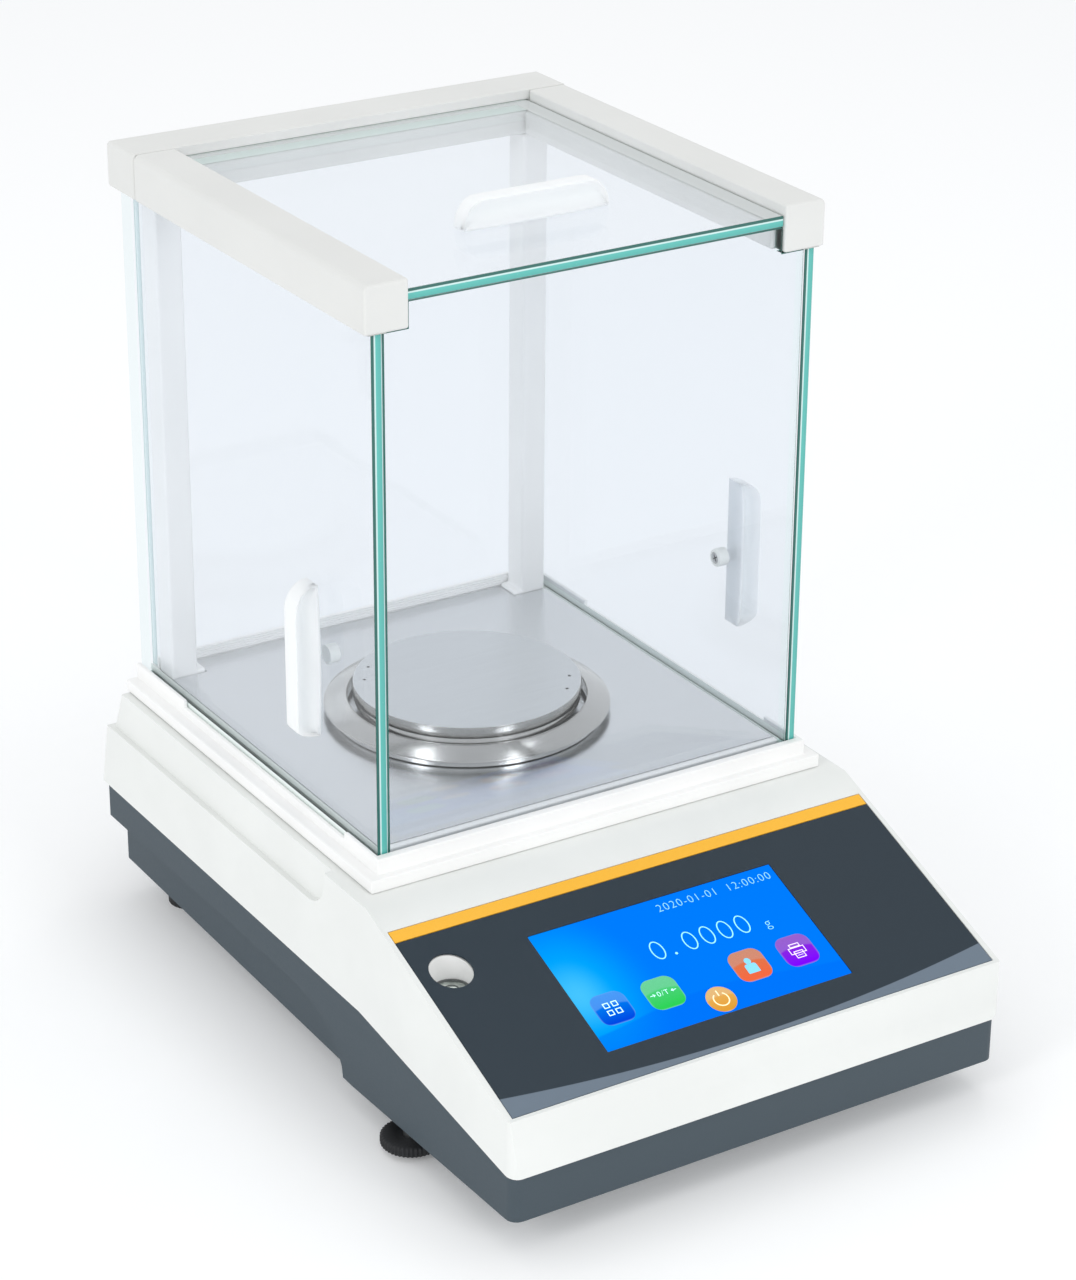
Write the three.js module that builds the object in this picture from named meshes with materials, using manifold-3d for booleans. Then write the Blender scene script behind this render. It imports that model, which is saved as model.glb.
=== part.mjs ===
// Analytical balance: a two-part base with a sloping touch console, and a glazed weighing
// chamber whose left, right and top panes slide back. Millimetres, +Z up, front towards -Y,
// origin on the table under the middle of the balance.
import * as THREE from "three";
import { mergeVertices } from "three/addons/utils/BufferGeometryUtils.js";
import Module from "manifold-3d";

const wasm = await Module();
wasm.setup();

// ---- Driving dimensions -------------------------------------------------------------------

// Clearances
const SEAT = 0.3; // between fixed pieces that touch
const RUN = 0.4; // between a pane and the track it slides in
const CUT = 2; // how far a cutting solid runs past the face it opens

// Weighing chamber
const FRAME_WIDTH = 192; // across the two top rails
const FRAME_DEPTH = 199; // front of the rails to the back of the rear rail
const CHAMBER_HEIGHT = 199.3; // plinth lip to the underside of the rails
const GLASS = 4; // every pane
const RAIL_HEIGHT = 18.1;
const SIDE_RAIL_WIDTH = 17.5;
const REAR_RAIL_DEPTH = 22.8;
const RAIL_EDGE = 1.5; // chamfer on the outer edges
const TRACK_OUTER_WALL = 2.9; // outside a side pane's track
const TRACK_DEPTH = 4.2; // of a side pane's track, up into the rail
const TRACK_FLOOR_RISE = 1.3; // track's floor above the plinth's lower step
const RAIL_NOSE = 1.2; // wall in front of the panes
const REAR_PANE_GRIP = 3; // rear pane into the rear rail
const TOP_PANE_DROP = 4.3; // top of the rails down to the top pane
const TOP_LEDGE = 2; // the rails' ledges that carry the top pane
const TOP_PANE_LAP = 8.2; // top pane into the rear rail when shut
const POST_WIDTH = 11.5;
const POST_DEPTH = 11.7;
const POST_FOOT_WIDTH = 15;
const POST_FOOT_RISE = 1.5; // foot of a post above the floor plate

// Plinth and floor of the chamber
const PLINTH_LOWER_RISE = 5.3;
const PLINTH_UPPER_RISE = 6.1;
const PLINTH_LOWER_SPREAD = 3.8; // lower step outside the rails
const PLINTH_UPPER_INSET = 1; // upper step inside the rails
const PLINTH_FRONT_SPREAD = 5.8; // lower step in front of the rails
const PLINTH_UPPER_FRONT_SPREAD = 2.4;
const PLINTH_REAR_INSET = 4.1; // plinth short of the back of the rails
const LIP_DROP = 2.9; // lowered stretch of the side lips
const LIP_DROP_START = 23;
const LIP_DROP_LENGTH = 130;
const FLOOR_PLATE_DROP = 1.6; // plate below the lip
const FLOOR_PLATE_THICKNESS = 1;
const FLOOR_FRONT_STRIP = 3.2; // plinth between the front pane and the plate
const PLATE_LEDGE = 4.3; // plinth under the plate's edge
const REAR_LEDGE_DEPTH = 13.3; // plinth under the posts
const SILL_RISE = 4.6; // rear sill above the plate
const SILL_DEPTH = 1.7;

// Base
const CONSOLE_SETBACK = 114.7; // front of the base to the front of the rails
const REAR_MARGIN = 7; // back of the rails to the back of the base
const SIDE_MARGIN = 11; // rails to the side of the base
const FOOT_HEIGHT = 14; // table to the underside of the chassis at its ends
const BELLY = 4; // the underside is this much lower at mid-length
const DECK_RISE = 77.5; // chassis underside to the deck
const SEAM_REAR_RISE = 34;
const SEAM_FRONT_RISE = 18.2;
const SEAM_KINK_RISE = 32.3;
const SEAM_KINK = 106.7; // from the front of the base
const CONSOLE_FRONT_RISE = 41.2;
const CONSOLE_LIP = 1.8; // flat lip in front of the console
const FRONT_DRAFT = 1.9; // the front face leans back by this
const CONSOLE_ANGLE = THREE.MathUtils.degToRad(20.5);
const SHELL = 3; // moulded walls
const SIDE_TAPER = 0.6; // each side, from the seam to the deck
const LEDGE_RISE = 61.5; // shoulder along the housing's sides
const LEDGE_WIDTH = 2.5;
const SHOULDER_TAPER = 1.5;
const LEDGE_START = 132.5; // from the front of the base
const LEDGE_CURVE = 12;
const REAR_DRAFT = 5.5;
const REAR_LEDGE = 3;
const FRONT_CORNER = 4.5; // radius of the upright front edges
const REAR_UPPER_DRAFT = 4.5;
const CHASSIS_INSET = 1; // chassis walls inside the housing's skirt
const CHASSIS_REAR_INSET = 3;
const TIER_RISE = 19; // undercut along the chassis sides
const TIER_INSET = 5;
const TIER_ARC_START = 165.5; // from the front of the base
const TIER_ARC_LENGTH = 44;

// Console
const PANEL_MARGIN = 2.1; // white border beside the overlay
const OVERLAY = 0.8; // thickness
const STRIPE_SETBACK = 12.7; // deck edge down the slope to the stripe
const STRIPE = 5.3;
const SCREEN_WIDTH = 105.9;
const SCREEN_LENGTH = 57.1;
const SCREEN_OFFSET = -3.9; // screen centre to the left of the middle
const SCREEN_SURROUND = 3; // housing under the screen's edge
const DISPLAY_DEPTH = 7;
const LEVEL_OFFSET = -91.4;
const LEVEL_START = 18.5; // stripe to the level's centre, down the slope
const LEVEL_RADIUS = 8.2;
const LEVEL_WALL = 1.2;
const LEVEL_DEPTH = 7.2; // console down to the vial
const VIAL_HEIGHT = 8;

// Pan and draft ring
const PAN_RADIUS = 45;
const PAN_RISE = 12.6; // floor plate to the pan's top
const PAN_SHEET = 1;
const PAN_RIM = 4.9; // turned-down skirt
const PAN_LIP = 2.2; // narrower lip below the skirt
const PAN_LIP_INSET = 0.6;
const PAN_EDGE = 0.3; // chamfer round the top
const PAN_SETBACK = 93.5; // front of the rails to the pan's centre
const PAN_GAP = 2.3; // pan to draft ring
const RING_WIDTH = 9.3;
const RING_RISE = 7; // floor plate to the inner edge
const RING_EDGE_RISE = 3.6; // floor plate to the outer edge
const RING_HEM = 0.6; // height of the outer edge
const RING_HEM_INSET = 2.4; // foot of the ring inside its outer edge
const RING_TOP = 0.6; // flat width of the inner edge
const RING_WALL = 1;
const RING_LIP_GAP = 2; // inner lip above the floor plate
const CARRIER_FLANGE_RADIUS = 22;
const CARRIER_STEM_RADIUS = 6;
const CARRIER_STEM = 12;
const RECEIVER_RADIUS = 3;
const PLATE_HOLE_RADIUS = 20;
const DECK_HOLE_RADIUS = 12;

// Weighing cell and electronics
const CELL_WIDTH = 40;
const CELL_LENGTH = 95;
const CELL_HEIGHT = 38;
const CELL_WALL = 8;
const CELL_FREE_END = 40; // pan centre to the cell's free end
const CELL_BASE = 8; // thickness
const CELL_BASE_MARGIN = 18;
const BRIDGE = 6; // thickness of the arm that carries the receiver
const BOARD_WIDTH = 156;
const BOARD_LENGTH = 66;
const BOARD = 1.6;
const BOARD_SETBACK = 34;
const STANDOFF_RISE = 8;
const STANDOFF_RADIUS = 3.5;

// Rear connectors
const BAY_WIDTH = 60;
const BAY_HEIGHT = 18;
const BAY_OFFSET = -34;
const BAY_RISE = 39; // above the chassis underside
const BAY_PANEL = 2;
const BAY_SETBACK = 8; // panel's face from the back of the base
const SOCKET_RADIUS = 5.5;
const SOCKET_BORE = 3.3;
const SOCKET_LENGTH = 13;
const SOCKET_OFFSET = -18; // from the bay's middle
const PORT_WIDTH = 19;
const PORT_HEIGHT = 10;
const PORT_LENGTH = 11;
const PORT_OFFSET = 10;
const PORT_CAVITY = 1.9; // depth of the port's mouth
const PORT_WALL = 1;

// Handles
const SIDE_HANDLE_LENGTH = 60;
const SIDE_HANDLE_WIDTH = 10;
const HANDLE_DEPTH = 10;
const HANDLE_ROUND = 7;
const HANDLE_FOOT_ROUND = 1.5; // lower end of a side handle
const SIDE_HANDLE_SETBACK = 41; // front of the rails to the handle
const SIDE_HANDLE_RISE = 62.7; // floor plate to the middle of the handle
const TOP_HANDLE_LENGTH = 61;
const TOP_HANDLE_WIDTH = 8.6;
const TOP_HANDLE_HEIGHT = 11;
const TOP_HANDLE_SETBACK = 42.5;
const KNOB_RADIUS = 3.6;
const KNOB_LENGTH = 4.5;
const KNOB_SHANK = 2;
const SHANK_GRIP = 5; // shank into the handle

// Feet and screws
const WHEEL_RADIUS = 11.6;
const WHEEL_THICKNESS = 4;
const WHEEL_TEETH = 30;
const KNURL = 0.7;
const PAD_RADIUS = 7;
const PAD_THICKNESS = 1.7;
const STUD_RADIUS = 3;
const STUD_LENGTH = 26;
const FOOT_TRAVEL = 2; // each way
const FRONT_FOOT_SETBACK = 81.2;
const FRONT_FOOT_INSET = 7; // from the side of the base
const REAR_FOOT_RADIUS = 10;
const REAR_FOOT_SETBACK = 30;
const REAR_FOOT_INSET = 24;
const FOOT_SOCKET = 1.2; // rear foot into the chassis
const BOSS_WALL = 9; // chassis round a stud
const SCREW_HEAD_RADIUS = 3.5;
const SCREW_HEAD = 2.4;
const SCREW_RADIUS = 1.9;
const SCREW_LENGTH = 20;
const COLUMN_RADIUS = 5;
const SCREW_INSET = 19;
const SCREW_FRONT_SETBACK = 22;
const SCREW_REAR_SETBACK = 70;

// ---- Places worked out from them ------------------------------------------------------------

const baseDepth = CONSOLE_SETBACK + FRAME_DEPTH + REAR_MARGIN;
const halfBase = FRAME_WIDTH / 2 + SIDE_MARGIN;
const front = -baseDepth / 2;
const back = baseDepth / 2;
const zBase = FOOT_HEIGHT;
const zDeck = zBase + DECK_RISE;
const zSeam = zBase + SEAM_REAR_RISE;
const zKink = zBase + SEAM_KINK_RISE;
const zLedge = zBase + LEDGE_RISE;
const zTier = zBase + TIER_RISE;
const seamKink = front + SEAM_KINK;

const railFront = front + CONSOLE_SETBACK;
const railBack = railFront + FRAME_DEPTH;
const rearRailFront = railBack - REAR_RAIL_DEPTH;
const halfFrame = FRAME_WIDTH / 2;
const railInner = halfFrame - SIDE_RAIL_WIDTH;
const zPlinth = zDeck + SEAT;
const zStep = zDeck + PLINTH_LOWER_RISE;
const zLip = zStep + PLINTH_UPPER_RISE;
const zRail = zLip + CHAMBER_HEIGHT;
const zTop = zRail + RAIL_HEIGHT;
const zFloor = zLip - FLOOR_PLATE_DROP;
const zSeat = zFloor - FLOOR_PLATE_THICKNESS - SEAT;

const trackOuter = halfFrame - TRACK_OUTER_WALL;
const paneOuter = trackOuter - RUN;
const paneInner = paneOuter - GLASS;
const trackInner = paneInner - RUN;
const frontPaneFront = railFront + RAIL_NOSE + SEAT;
const frontPaneBack = frontPaneFront + GLASS;
const slotBack = frontPaneBack + SEAT;
const zTopPane = zTop - TOP_PANE_DROP;
const zTopPaneUnder = zTopPane - GLASS;
const topPaneHalf = railInner - SEAT;
const paneStart = railFront + RAIL_NOSE + RUN;

const plateHalf = trackInner - SEAT;
const plateFront = slotBack + FLOOR_FRONT_STRIP + SEAT;
const postBack = rearRailFront + POST_DEPTH;
const sillFront = postBack + SEAT;
const sillBack = sillFront + SILL_DEPTH;
const plateBack = postBack;
const plinthBack = railBack - PLINTH_REAR_INSET;
const postOuter = plateHalf;
const postInner = postOuter - POST_WIDTH;
const postFootInner = postOuter - POST_FOOT_WIDTH;
const rearPaneFront = sillBack + SEAT;

const panY = railFront + PAN_SETBACK;
const zPan = zFloor + PAN_RISE;

// The console is a line in the side view, measured from the deck's edge.
const consoleFrontY = front + FRONT_DRAFT + CONSOLE_LIP;
const zConsoleFront = zBase + CONSOLE_FRONT_RISE;
const consoleLength = (zDeck - zConsoleFront) / Math.sin(CONSOLE_ANGLE);
const deckEdgeY = consoleFrontY + consoleLength * Math.cos(CONSOLE_ANGLE);
const recess = OVERLAY + SEAT;
const stripeEnd = STRIPE_SETBACK + STRIPE;
const screenStart = (stripeEnd + consoleLength - SCREEN_LENGTH) / 2;
const levelAlong = stripeEnd + LEVEL_START;

// ---- Materials ----------------------------------------------------------------------------

const finish = (color, roughness, metalness) =>
  new THREE.MeshStandardMaterial({ color, roughness, metalness });
const whitePlastic = finish(0xeef0ef, 0.5, 0);
const slatePaint = finish(0x59646c, 0.6, 0.1);
const overlayFilm = finish(0x3d464e, 0.4, 0);
const orangeFilm = finish(0xffbe41, 0.45, 0);
const screenGlass = finish(0x0082ff, 0.12, 0);
const blackPlastic = finish(0x1c1c1e, 0.55, 0);
const rubber = finish(0x26282a, 0.85, 0);
const satinSteel = finish(0xc9cfd2, 0.35, 1);
const brightSteel = finish(0xb9bbbb, 0.12, 1);
const aluminium = finish(0xb8bcc0, 0.4, 1);
const boardGreen = finish(0x1f5a3a, 0.6, 0);
const clearGlass = new THREE.MeshStandardMaterial({
  color: 0xdff2ef,
  roughness: 0.05,
  metalness: 0,
  transparent: true,
  opacity: 0.3,
});

// ---- Solids -------------------------------------------------------------------------------

// A closed three.js geometry as a solid that can be joined and cut.
function solid(geometry) {
  const bare = geometry.index ? geometry : geometry.clone();
  bare.deleteAttribute("normal");
  bare.deleteAttribute("uv");
  const merged = mergeVertices(bare, 1e-4);
  return new wasm.Manifold(
    new wasm.Mesh({
      numProp: 3,
      vertProperties: new Float32Array(merged.attributes.position.array),
      triVerts: new Uint32Array(merged.index.array),
    }),
  );
}

function box([x0, y0, z0], [x1, y1, z1]) {
  const geometry = new THREE.BoxGeometry(x1 - x0, y1 - y0, z1 - z0);
  return solid(geometry.translate((x0 + x1) / 2, (y0 + y1) / 2, (z0 + z1) / 2));
}

function extrude(outline, depth, holes = []) {
  const shape = new THREE.Shape(outline.map(([a, b]) => new THREE.Vector2(a, b)));
  for (const hole of holes) {
    shape.holes.push(new THREE.Path(hole.map(([a, b]) => new THREE.Vector2(a, b))));
  }
  return new THREE.ExtrudeGeometry(shape, { depth, bevelEnabled: false });
}

const along = (x, y, z) => new THREE.Matrix4().makeBasis(x, y, z);
const unitX = new THREE.Vector3(1, 0, 0);
const unitY = new THREE.Vector3(0, 1, 0);
const unitZ = new THREE.Vector3(0, 0, 1);

// An outline in the side view (y, z), run from x0 to x1.
function sideProfile(outline, x0, x1) {
  const geometry = extrude(outline, x1 - x0).applyMatrix4(along(unitY, unitZ, unitX));
  return solid(geometry.translate(x0, 0, 0));
}

// An outline in the front view (x, z), run from y0 to y1.
function frontProfile(outline, y0, y1) {
  const geometry = extrude(outline, y1 - y0);
  geometry.applyMatrix4(along(unitX, unitZ, unitY.clone().negate()));
  return solid(geometry.translate(0, y1, 0));
}

// An outline in the plan view (x, y), run from z0 to z1.
function planProfile(outline, z0, z1, holes = []) {
  return solid(extrude(outline, z1 - z0, holes).translate(0, 0, z0));
}

// A profile of [radius, height] points, anticlockwise, turned about a vertical axis.
function turned(profile, x, y, segments = 48) {
  const points = profile.map(([radius, height]) => new THREE.Vector2(radius, height));
  const geometry = new THREE.LatheGeometry(points, segments).rotateX(Math.PI / 2);
  return solid(geometry.translate(x, y, 0));
}

const rod = (radius, x, y, z0, z1, segments = 24) =>
  turned([[0, z0], [radius, z0], [radius, z1], [0, z1]], x, y, segments);

// A rod lying along x or y.
function lyingRod(radius, direction, [x, y, z], length, segments = 20) {
  const geometry = new THREE.CylinderGeometry(radius, radius, length, segments);
  if (direction === "x") geometry.rotateZ(Math.PI / 2);
  const half = length / 2;
  geometry.translate(direction === "x" ? x + half : x, direction === "x" ? y : y + half, z);
  return solid(geometry);
}

// An arc of an ellipse as points of an outline.
function arc([cx, cy], [rx, ry], from, to, steps) {
  return Array.from({ length: steps + 1 }, (_, step) => {
    const angle = from + ((to - from) * step) / steps;
    return [cx + rx * Math.cos(angle), cy + ry * Math.sin(angle)];
  });
}

const circle = (centre, radius, steps) =>
  arc(centre, [radius, radius], 0, 2 * Math.PI, steps).slice(0, steps);

// A block whose two front upright edges are rounded.
function roundedFront(half, y0, y1, z0, z1, radius) {
  const quarter = Math.PI / 2;
  const outline = [
    ...arc([radius - half, y0 + radius], [radius, radius], 2 * quarter, 3 * quarter, 6),
    ...arc([half - radius, y0 + radius], [radius, radius], 3 * quarter, 4 * quarter, 6),
    [half, y1], [-half, y1],
  ];
  return planProfile(outline, z0, z1);
}

const mirrored = (piece) => piece.mirror([1, 0, 0]);
const bothSides = (piece) => piece.add(mirrored(piece));

// Console coordinates: s runs down the slope from the deck's edge, d goes into the base.
function consolePoint(s, d) {
  const sin = Math.sin(CONSOLE_ANGLE);
  const cos = Math.cos(CONSOLE_ANGLE);
  return [deckEdgeY - s * cos + d * sin, zDeck - s * sin - d * cos];
}

// A flat slab on the console, between two places down the slope and two depths.
function consoleSlab(x0, x1, s0, s1, d0, d1) {
  const outline = [consolePoint(s1, d1), consolePoint(s0, d1), consolePoint(s0, d0),
    consolePoint(s1, d0)];
  return sideProfile(outline, x0, x1);
}

const balance = new THREE.Group();
balance.name = "analytical_balance";

function add(name, piece, material) {
  const { vertProperties, triVerts } = piece.getMesh();
  const geometry = new THREE.BufferGeometry();
  geometry.setAttribute("position", new THREE.BufferAttribute(vertProperties, 3));
  geometry.setIndex(new THREE.BufferAttribute(triVerts, 1));
  const mesh = new THREE.Mesh(geometry, material);
  mesh.name = name;
  balance.add(mesh);
}

// ---- Chassis ------------------------------------------------------------------------------

const chassisHalf = halfBase - CHASSIS_INSET;
const chassisFront = front + CHASSIS_INSET;
const chassisBack = back - CHASSIS_REAR_INSET;
const tierHalf = chassisHalf - TIER_INSET;
const tierBack = chassisBack - TIER_INSET;
const footX = halfBase - FRONT_FOOT_INSET;
const footY = front + FRONT_FOOT_SETBACK;
const rearFootX = halfBase - REAR_FOOT_INSET;
const rearFootY = back - REAR_FOOT_SETBACK;
const screwPlaces = [
  ["front_left", -1, front + SCREW_FRONT_SETBACK],
  ["front_right", 1, front + SCREW_FRONT_SETBACK],
  ["rear_left", -1, back - SCREW_REAR_SETBACK],
  ["rear_right", 1, back - SCREW_REAR_SETBACK],
];
const screwX = halfBase - SCREW_INSET;
const bellyY = railFront;
const zHead = zBase + SCREW_HEAD - BELLY / 2;
const boardFront = front + BOARD_SETBACK;
const zBoard = zBase + SHELL + STANDOFF_RISE + SEAT;

function chassis() {
  const zSeamFront = zBase + SEAM_FRONT_RISE - SEAT;
  let body = sideProfile([
    [chassisFront, zBase], [bellyY, zBase - BELLY], [chassisBack, zBase],
    [chassisBack, zSeam - SEAT], [seamKink, zKink - SEAT], [chassisFront, zSeamFront],
  ], -chassisHalf, chassisHalf);
  body = body.intersect(roundedFront(chassisHalf, chassisFront, back, 0, zDeck, FRONT_CORNER));

  const arcStart = front + TIER_ARC_START;
  const undercut = sideProfile([
    ...arc([arcStart, zBase - BELLY], [TIER_ARC_LENGTH, TIER_RISE + BELLY], Math.PI, Math.PI / 2, 8),
    [back, zTier], [back, zBase - BELLY - CUT], [arcStart - TIER_ARC_LENGTH, zBase - BELLY - CUT],
  ].reverse(), tierHalf, chassisHalf + CUT);
  body = body.subtract(bothSides(undercut));
  body = body.subtract(box([-halfBase, tierBack, zBase - BELLY - CUT], [halfBase, back, zTier]));

  const lowHalf = tierHalf - SHELL;
  const highHalf = chassisHalf - SHELL;
  const zHigh = zTier + SHELL;
  body = body.subtract(box([-lowHalf, chassisFront + SHELL, zBase + SHELL],
    [lowHalf, tierBack - SHELL, zSeam + CUT]));
  body = body.subtract(box([-highHalf, chassisFront + SHELL, zHigh],
    [highHalf, chassisBack - SHELL, zSeam + CUT]));

  const boss = box([footX - BOSS_WALL, footY - BOSS_WALL, zBase],
    [lowHalf + CUT, footY + BOSS_WALL, zHigh]);
  body = body.add(bothSides(boss));
  for (const end of [boardFront + STANDOFF_RADIUS, boardFront + BOARD_LENGTH - STANDOFF_RADIUS]) {
    const post = rod(STANDOFF_RADIUS, BOARD_WIDTH / 2 - STANDOFF_RADIUS, end, zBase, zBoard - SEAT, 16);
    body = body.add(bothSides(post));
  }

  const studTop = PAD_THICKNESS + SEAT + WHEEL_THICKNESS + STUD_LENGTH + FOOT_TRAVEL + SEAT;
  const bore = rod(STUD_RADIUS + SEAT, footX, footY, 0, studTop);
  const socket = rod(REAR_FOOT_RADIUS + SEAT, rearFootX, rearFootY, 0, zBase + FOOT_SOCKET);
  body = body.subtract(bothSides(bore)).subtract(bothSides(socket));
  for (const [, side, y] of screwPlaces) {
    body = body.subtract(rod(SCREW_RADIUS + SEAT, side * screwX, y, 0, zSeam, 16));
    body = body.subtract(rod(SCREW_HEAD_RADIUS + SEAT, side * screwX, y, 0, zHead + SEAT, 20));
  }
  return body;
}

// ---- Housing ------------------------------------------------------------------------------

function housing() {
  const lipY = front + FRONT_DRAFT;
  const rearTop = back - REAR_DRAFT - REAR_LEDGE;
  const outline = [
    [front, zBase + SEAM_FRONT_RISE], [seamKink, zKink], [back, zSeam], [back - REAR_DRAFT, zLedge],
    [rearTop, zLedge], [rearTop - REAR_UPPER_DRAFT, zDeck], [deckEdgeY, zDeck],
    [consoleFrontY, zConsoleFront], [lipY, zConsoleFront],
  ];
  const deckHalf = halfBase - SIDE_TAPER;
  const section = [
    [-halfBase, 0], [halfBase, 0], [halfBase, zSeam], [deckHalf, zDeck], [-deckHalf, zDeck],
    [-halfBase, zSeam],
  ];
  const block = sideProfile(outline, -halfBase, halfBase)
    .intersect(frontProfile(section, front, back))
    .intersect(roundedFront(halfBase, front, back, 0, zDeck, FRONT_CORNER));

  const zAbove = zDeck + CUT;
  const shoulderHalf = halfBase - SIDE_TAPER / 2 - LEDGE_WIDTH;
  const shoulder = frontProfile([
    [shoulderHalf, zLedge], [halfBase + CUT, zLedge], [halfBase + CUT, zAbove],
    [shoulderHalf - SHOULDER_TAPER, zAbove],
  ], front, back + CUT);
  const start = front + LEDGE_START;
  const reach = sideProfile([
    ...arc([start + LEDGE_CURVE, zLedge + LEDGE_CURVE], [LEDGE_CURVE, LEDGE_CURVE], Math.PI,
      1.5 * Math.PI, 6),
    [back + CUT, zLedge], [back + CUT, zAbove], [start, zAbove],
  ], shoulderHalf - CUT, halfBase + CUT);
  const whole = block.subtract(bothSides(shoulder.intersect(reach)));

  const innerHalf = shoulderHalf - SHOULDER_TAPER - SHELL;
  const rearInner = rearTop - REAR_UPPER_DRAFT - SHELL;
  const deep = recess + SHELL;
  const ceilingEdge = (SHELL - deep * Math.cos(CONSOLE_ANGLE)) / Math.sin(CONSOLE_ANGLE);
  let shell = whole.subtract(sideProfile([
    [lipY + SHELL, 0], [rearInner, 0], [rearInner, zDeck - SHELL], consolePoint(ceilingEdge, deep),
    consolePoint(consoleLength, deep),
  ], -innerHalf, innerHalf));
  shell = shell.subtract(box([-halfBase + SHELL + SIDE_TAPER, seamKink, 0],
    [halfBase - SHELL - SIDE_TAPER, back - REAR_DRAFT - SHELL, zLedge - SHELL]));
  for (const [, side, y] of screwPlaces) {
    const column = rod(COLUMN_RADIUS, side * screwX, y, zBase + SHELL + SEAT, zDeck, 16)
      .subtract(rod(SCREW_RADIUS + SEAT, side * screwX, y, 0, zHead + SCREW_LENGTH + SEAT, 16));
    shell = shell.add(column.intersect(block.add(box([-halfBase, front, 0], [halfBase, back, zSeam]))
      .subtract(consoleSlab(-halfBase, halfBase, 0, consoleLength, -zDeck, recess))));
  }

  shell = shell.subtract(consoleSlab(-panelHalf - SEAT, panelHalf + SEAT, STRIPE_SETBACK - SEAT,
    consoleLength, -CUT, recess));
  shell = shell.subtract(displayOpening());
  shell = shell.subtract(rod(LEVEL_RADIUS + LEVEL_WALL + SEAT, LEVEL_OFFSET, levelY, 0, zDeck));
  shell = shell.subtract(rod(DECK_HOLE_RADIUS, 0, panY, zLedge, zAbove));
  const bay = bayBox(0, back - SHELL * 4, back + CUT);
  return shell.subtract(bay);
}

// ---- Console ------------------------------------------------------------------------------

const [levelY, zLevel] = consolePoint(levelAlong, 0);
const zVial = zLevel - LEVEL_DEPTH;
const panelHalf = halfBase - SIDE_TAPER - PANEL_MARGIN;
const screenLeft = SCREEN_OFFSET - SCREEN_WIDTH / 2;
const screenRight = SCREEN_OFFSET + SCREEN_WIDTH / 2;
const screenEnd = screenStart + SCREEN_LENGTH;

function displayOpening() {
  return consoleSlab(screenLeft + SCREEN_SURROUND, screenRight - SCREEN_SURROUND,
    screenStart + SCREEN_SURROUND, screenEnd - SCREEN_SURROUND, -CUT, recess + SHELL * 2);
}

function overlay() {
  const sheet = consoleSlab(-panelHalf, panelHalf, stripeEnd + SEAT, consoleLength - SEAT, 0, OVERLAY);
  const window = consoleSlab(screenLeft - SEAT, screenRight + SEAT, screenStart - SEAT,
    screenEnd + SEAT, -CUT, OVERLAY + CUT);
  const hole = solid(new THREE.CylinderGeometry(LEVEL_RADIUS, LEVEL_RADIUS, 4 * CUT, 32)
    .rotateX(Math.PI / 2 + CONSOLE_ANGLE).translate(LEVEL_OFFSET, levelY, zLevel));
  return sheet.subtract(window).subtract(hole);
}

function levelWell() {
  const outer = LEVEL_RADIUS + LEVEL_WALL;
  const zUnder = zVial - VIAL_HEIGHT - SEAT;
  const cup = rod(outer, LEVEL_OFFSET, levelY, zUnder - LEVEL_WALL, zDeck, 32)
    .subtract(rod(LEVEL_RADIUS, LEVEL_OFFSET, levelY, zUnder, zDeck + CUT, 32));
  const above = consoleSlab(-halfBase, halfBase, 0, consoleLength, -zDeck, recess + SEAT);
  return cup.subtract(above);
}

// ---- Chamber frame ------------------------------------------------------------------------

const doorTop = zRail + TRACK_DEPTH - RUN;
const zTrack = zStep + TRACK_FLOOR_RISE;
const zPaneFoot = zTrack + RUN;
const trackCut = box([trackInner, paneStart - RUN, zTrack], [trackOuter, back, zLip + CUT]);
const railTrack = box([trackInner, paneStart - RUN, zRail - CUT], [trackOuter, back, zRail + TRACK_DEPTH]);

function plinth() {
  const lowerHalf = halfFrame + PLINTH_LOWER_SPREAD;
  const upperHalf = halfFrame - PLINTH_UPPER_INSET;
  const upperFront = railFront - PLINTH_UPPER_FRONT_SPREAD;
  let frame = box([-lowerHalf, railFront - PLINTH_FRONT_SPREAD, zPlinth], [lowerHalf, plinthBack, zStep])
    .add(box([-upperHalf, upperFront, zPlinth], [upperHalf, plinthBack, zLip]));
  frame = frame.subtract(bothSides(trackCut));
  frame = frame.subtract(box([-trackOuter, frontPaneFront - SEAT, zTrack],
    [trackOuter, slotBack, zLip + CUT]));
  frame = frame.subtract(box([-trackInner - SEAT, slotBack, zFloor],
    [trackInner + SEAT, back, zLip + CUT]));
  frame = frame.subtract(box([-trackInner - SEAT, plateFront - SEAT, zSeat],
    [trackInner + SEAT, postBack + SEAT, zLip + CUT]));
  const lowLip = box([trackOuter - SEAT, railFront + LIP_DROP_START, zLip - LIP_DROP],
    [halfFrame, railFront + LIP_DROP_START + LIP_DROP_LENGTH, zLip + CUT]);
  frame = frame.subtract(bothSides(lowLip));
  const openHalf = trackInner - PLATE_LEDGE;
  return frame.subtract(box([-openHalf, plateFront + PLATE_LEDGE, 0],
    [openHalf, plateBack - REAR_LEDGE_DEPTH, zLip + CUT]));
}

function floorPlate() {
  const notchY = plateBack - POST_DEPTH - SEAT;
  const notchX = postFootInner - SEAT;
  const outline = [
    [-plateHalf, plateFront], [plateHalf, plateFront], [plateHalf, notchY], [notchX, notchY],
    [notchX, plateBack], [-notchX, plateBack], [-notchX, notchY], [-plateHalf, notchY],
  ];
  const hole = circle([0, panY], PLATE_HOLE_RADIUS, 40);
  return planProfile(outline, zFloor - FLOOR_PLATE_THICKNESS, zFloor, [hole]);
}

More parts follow.
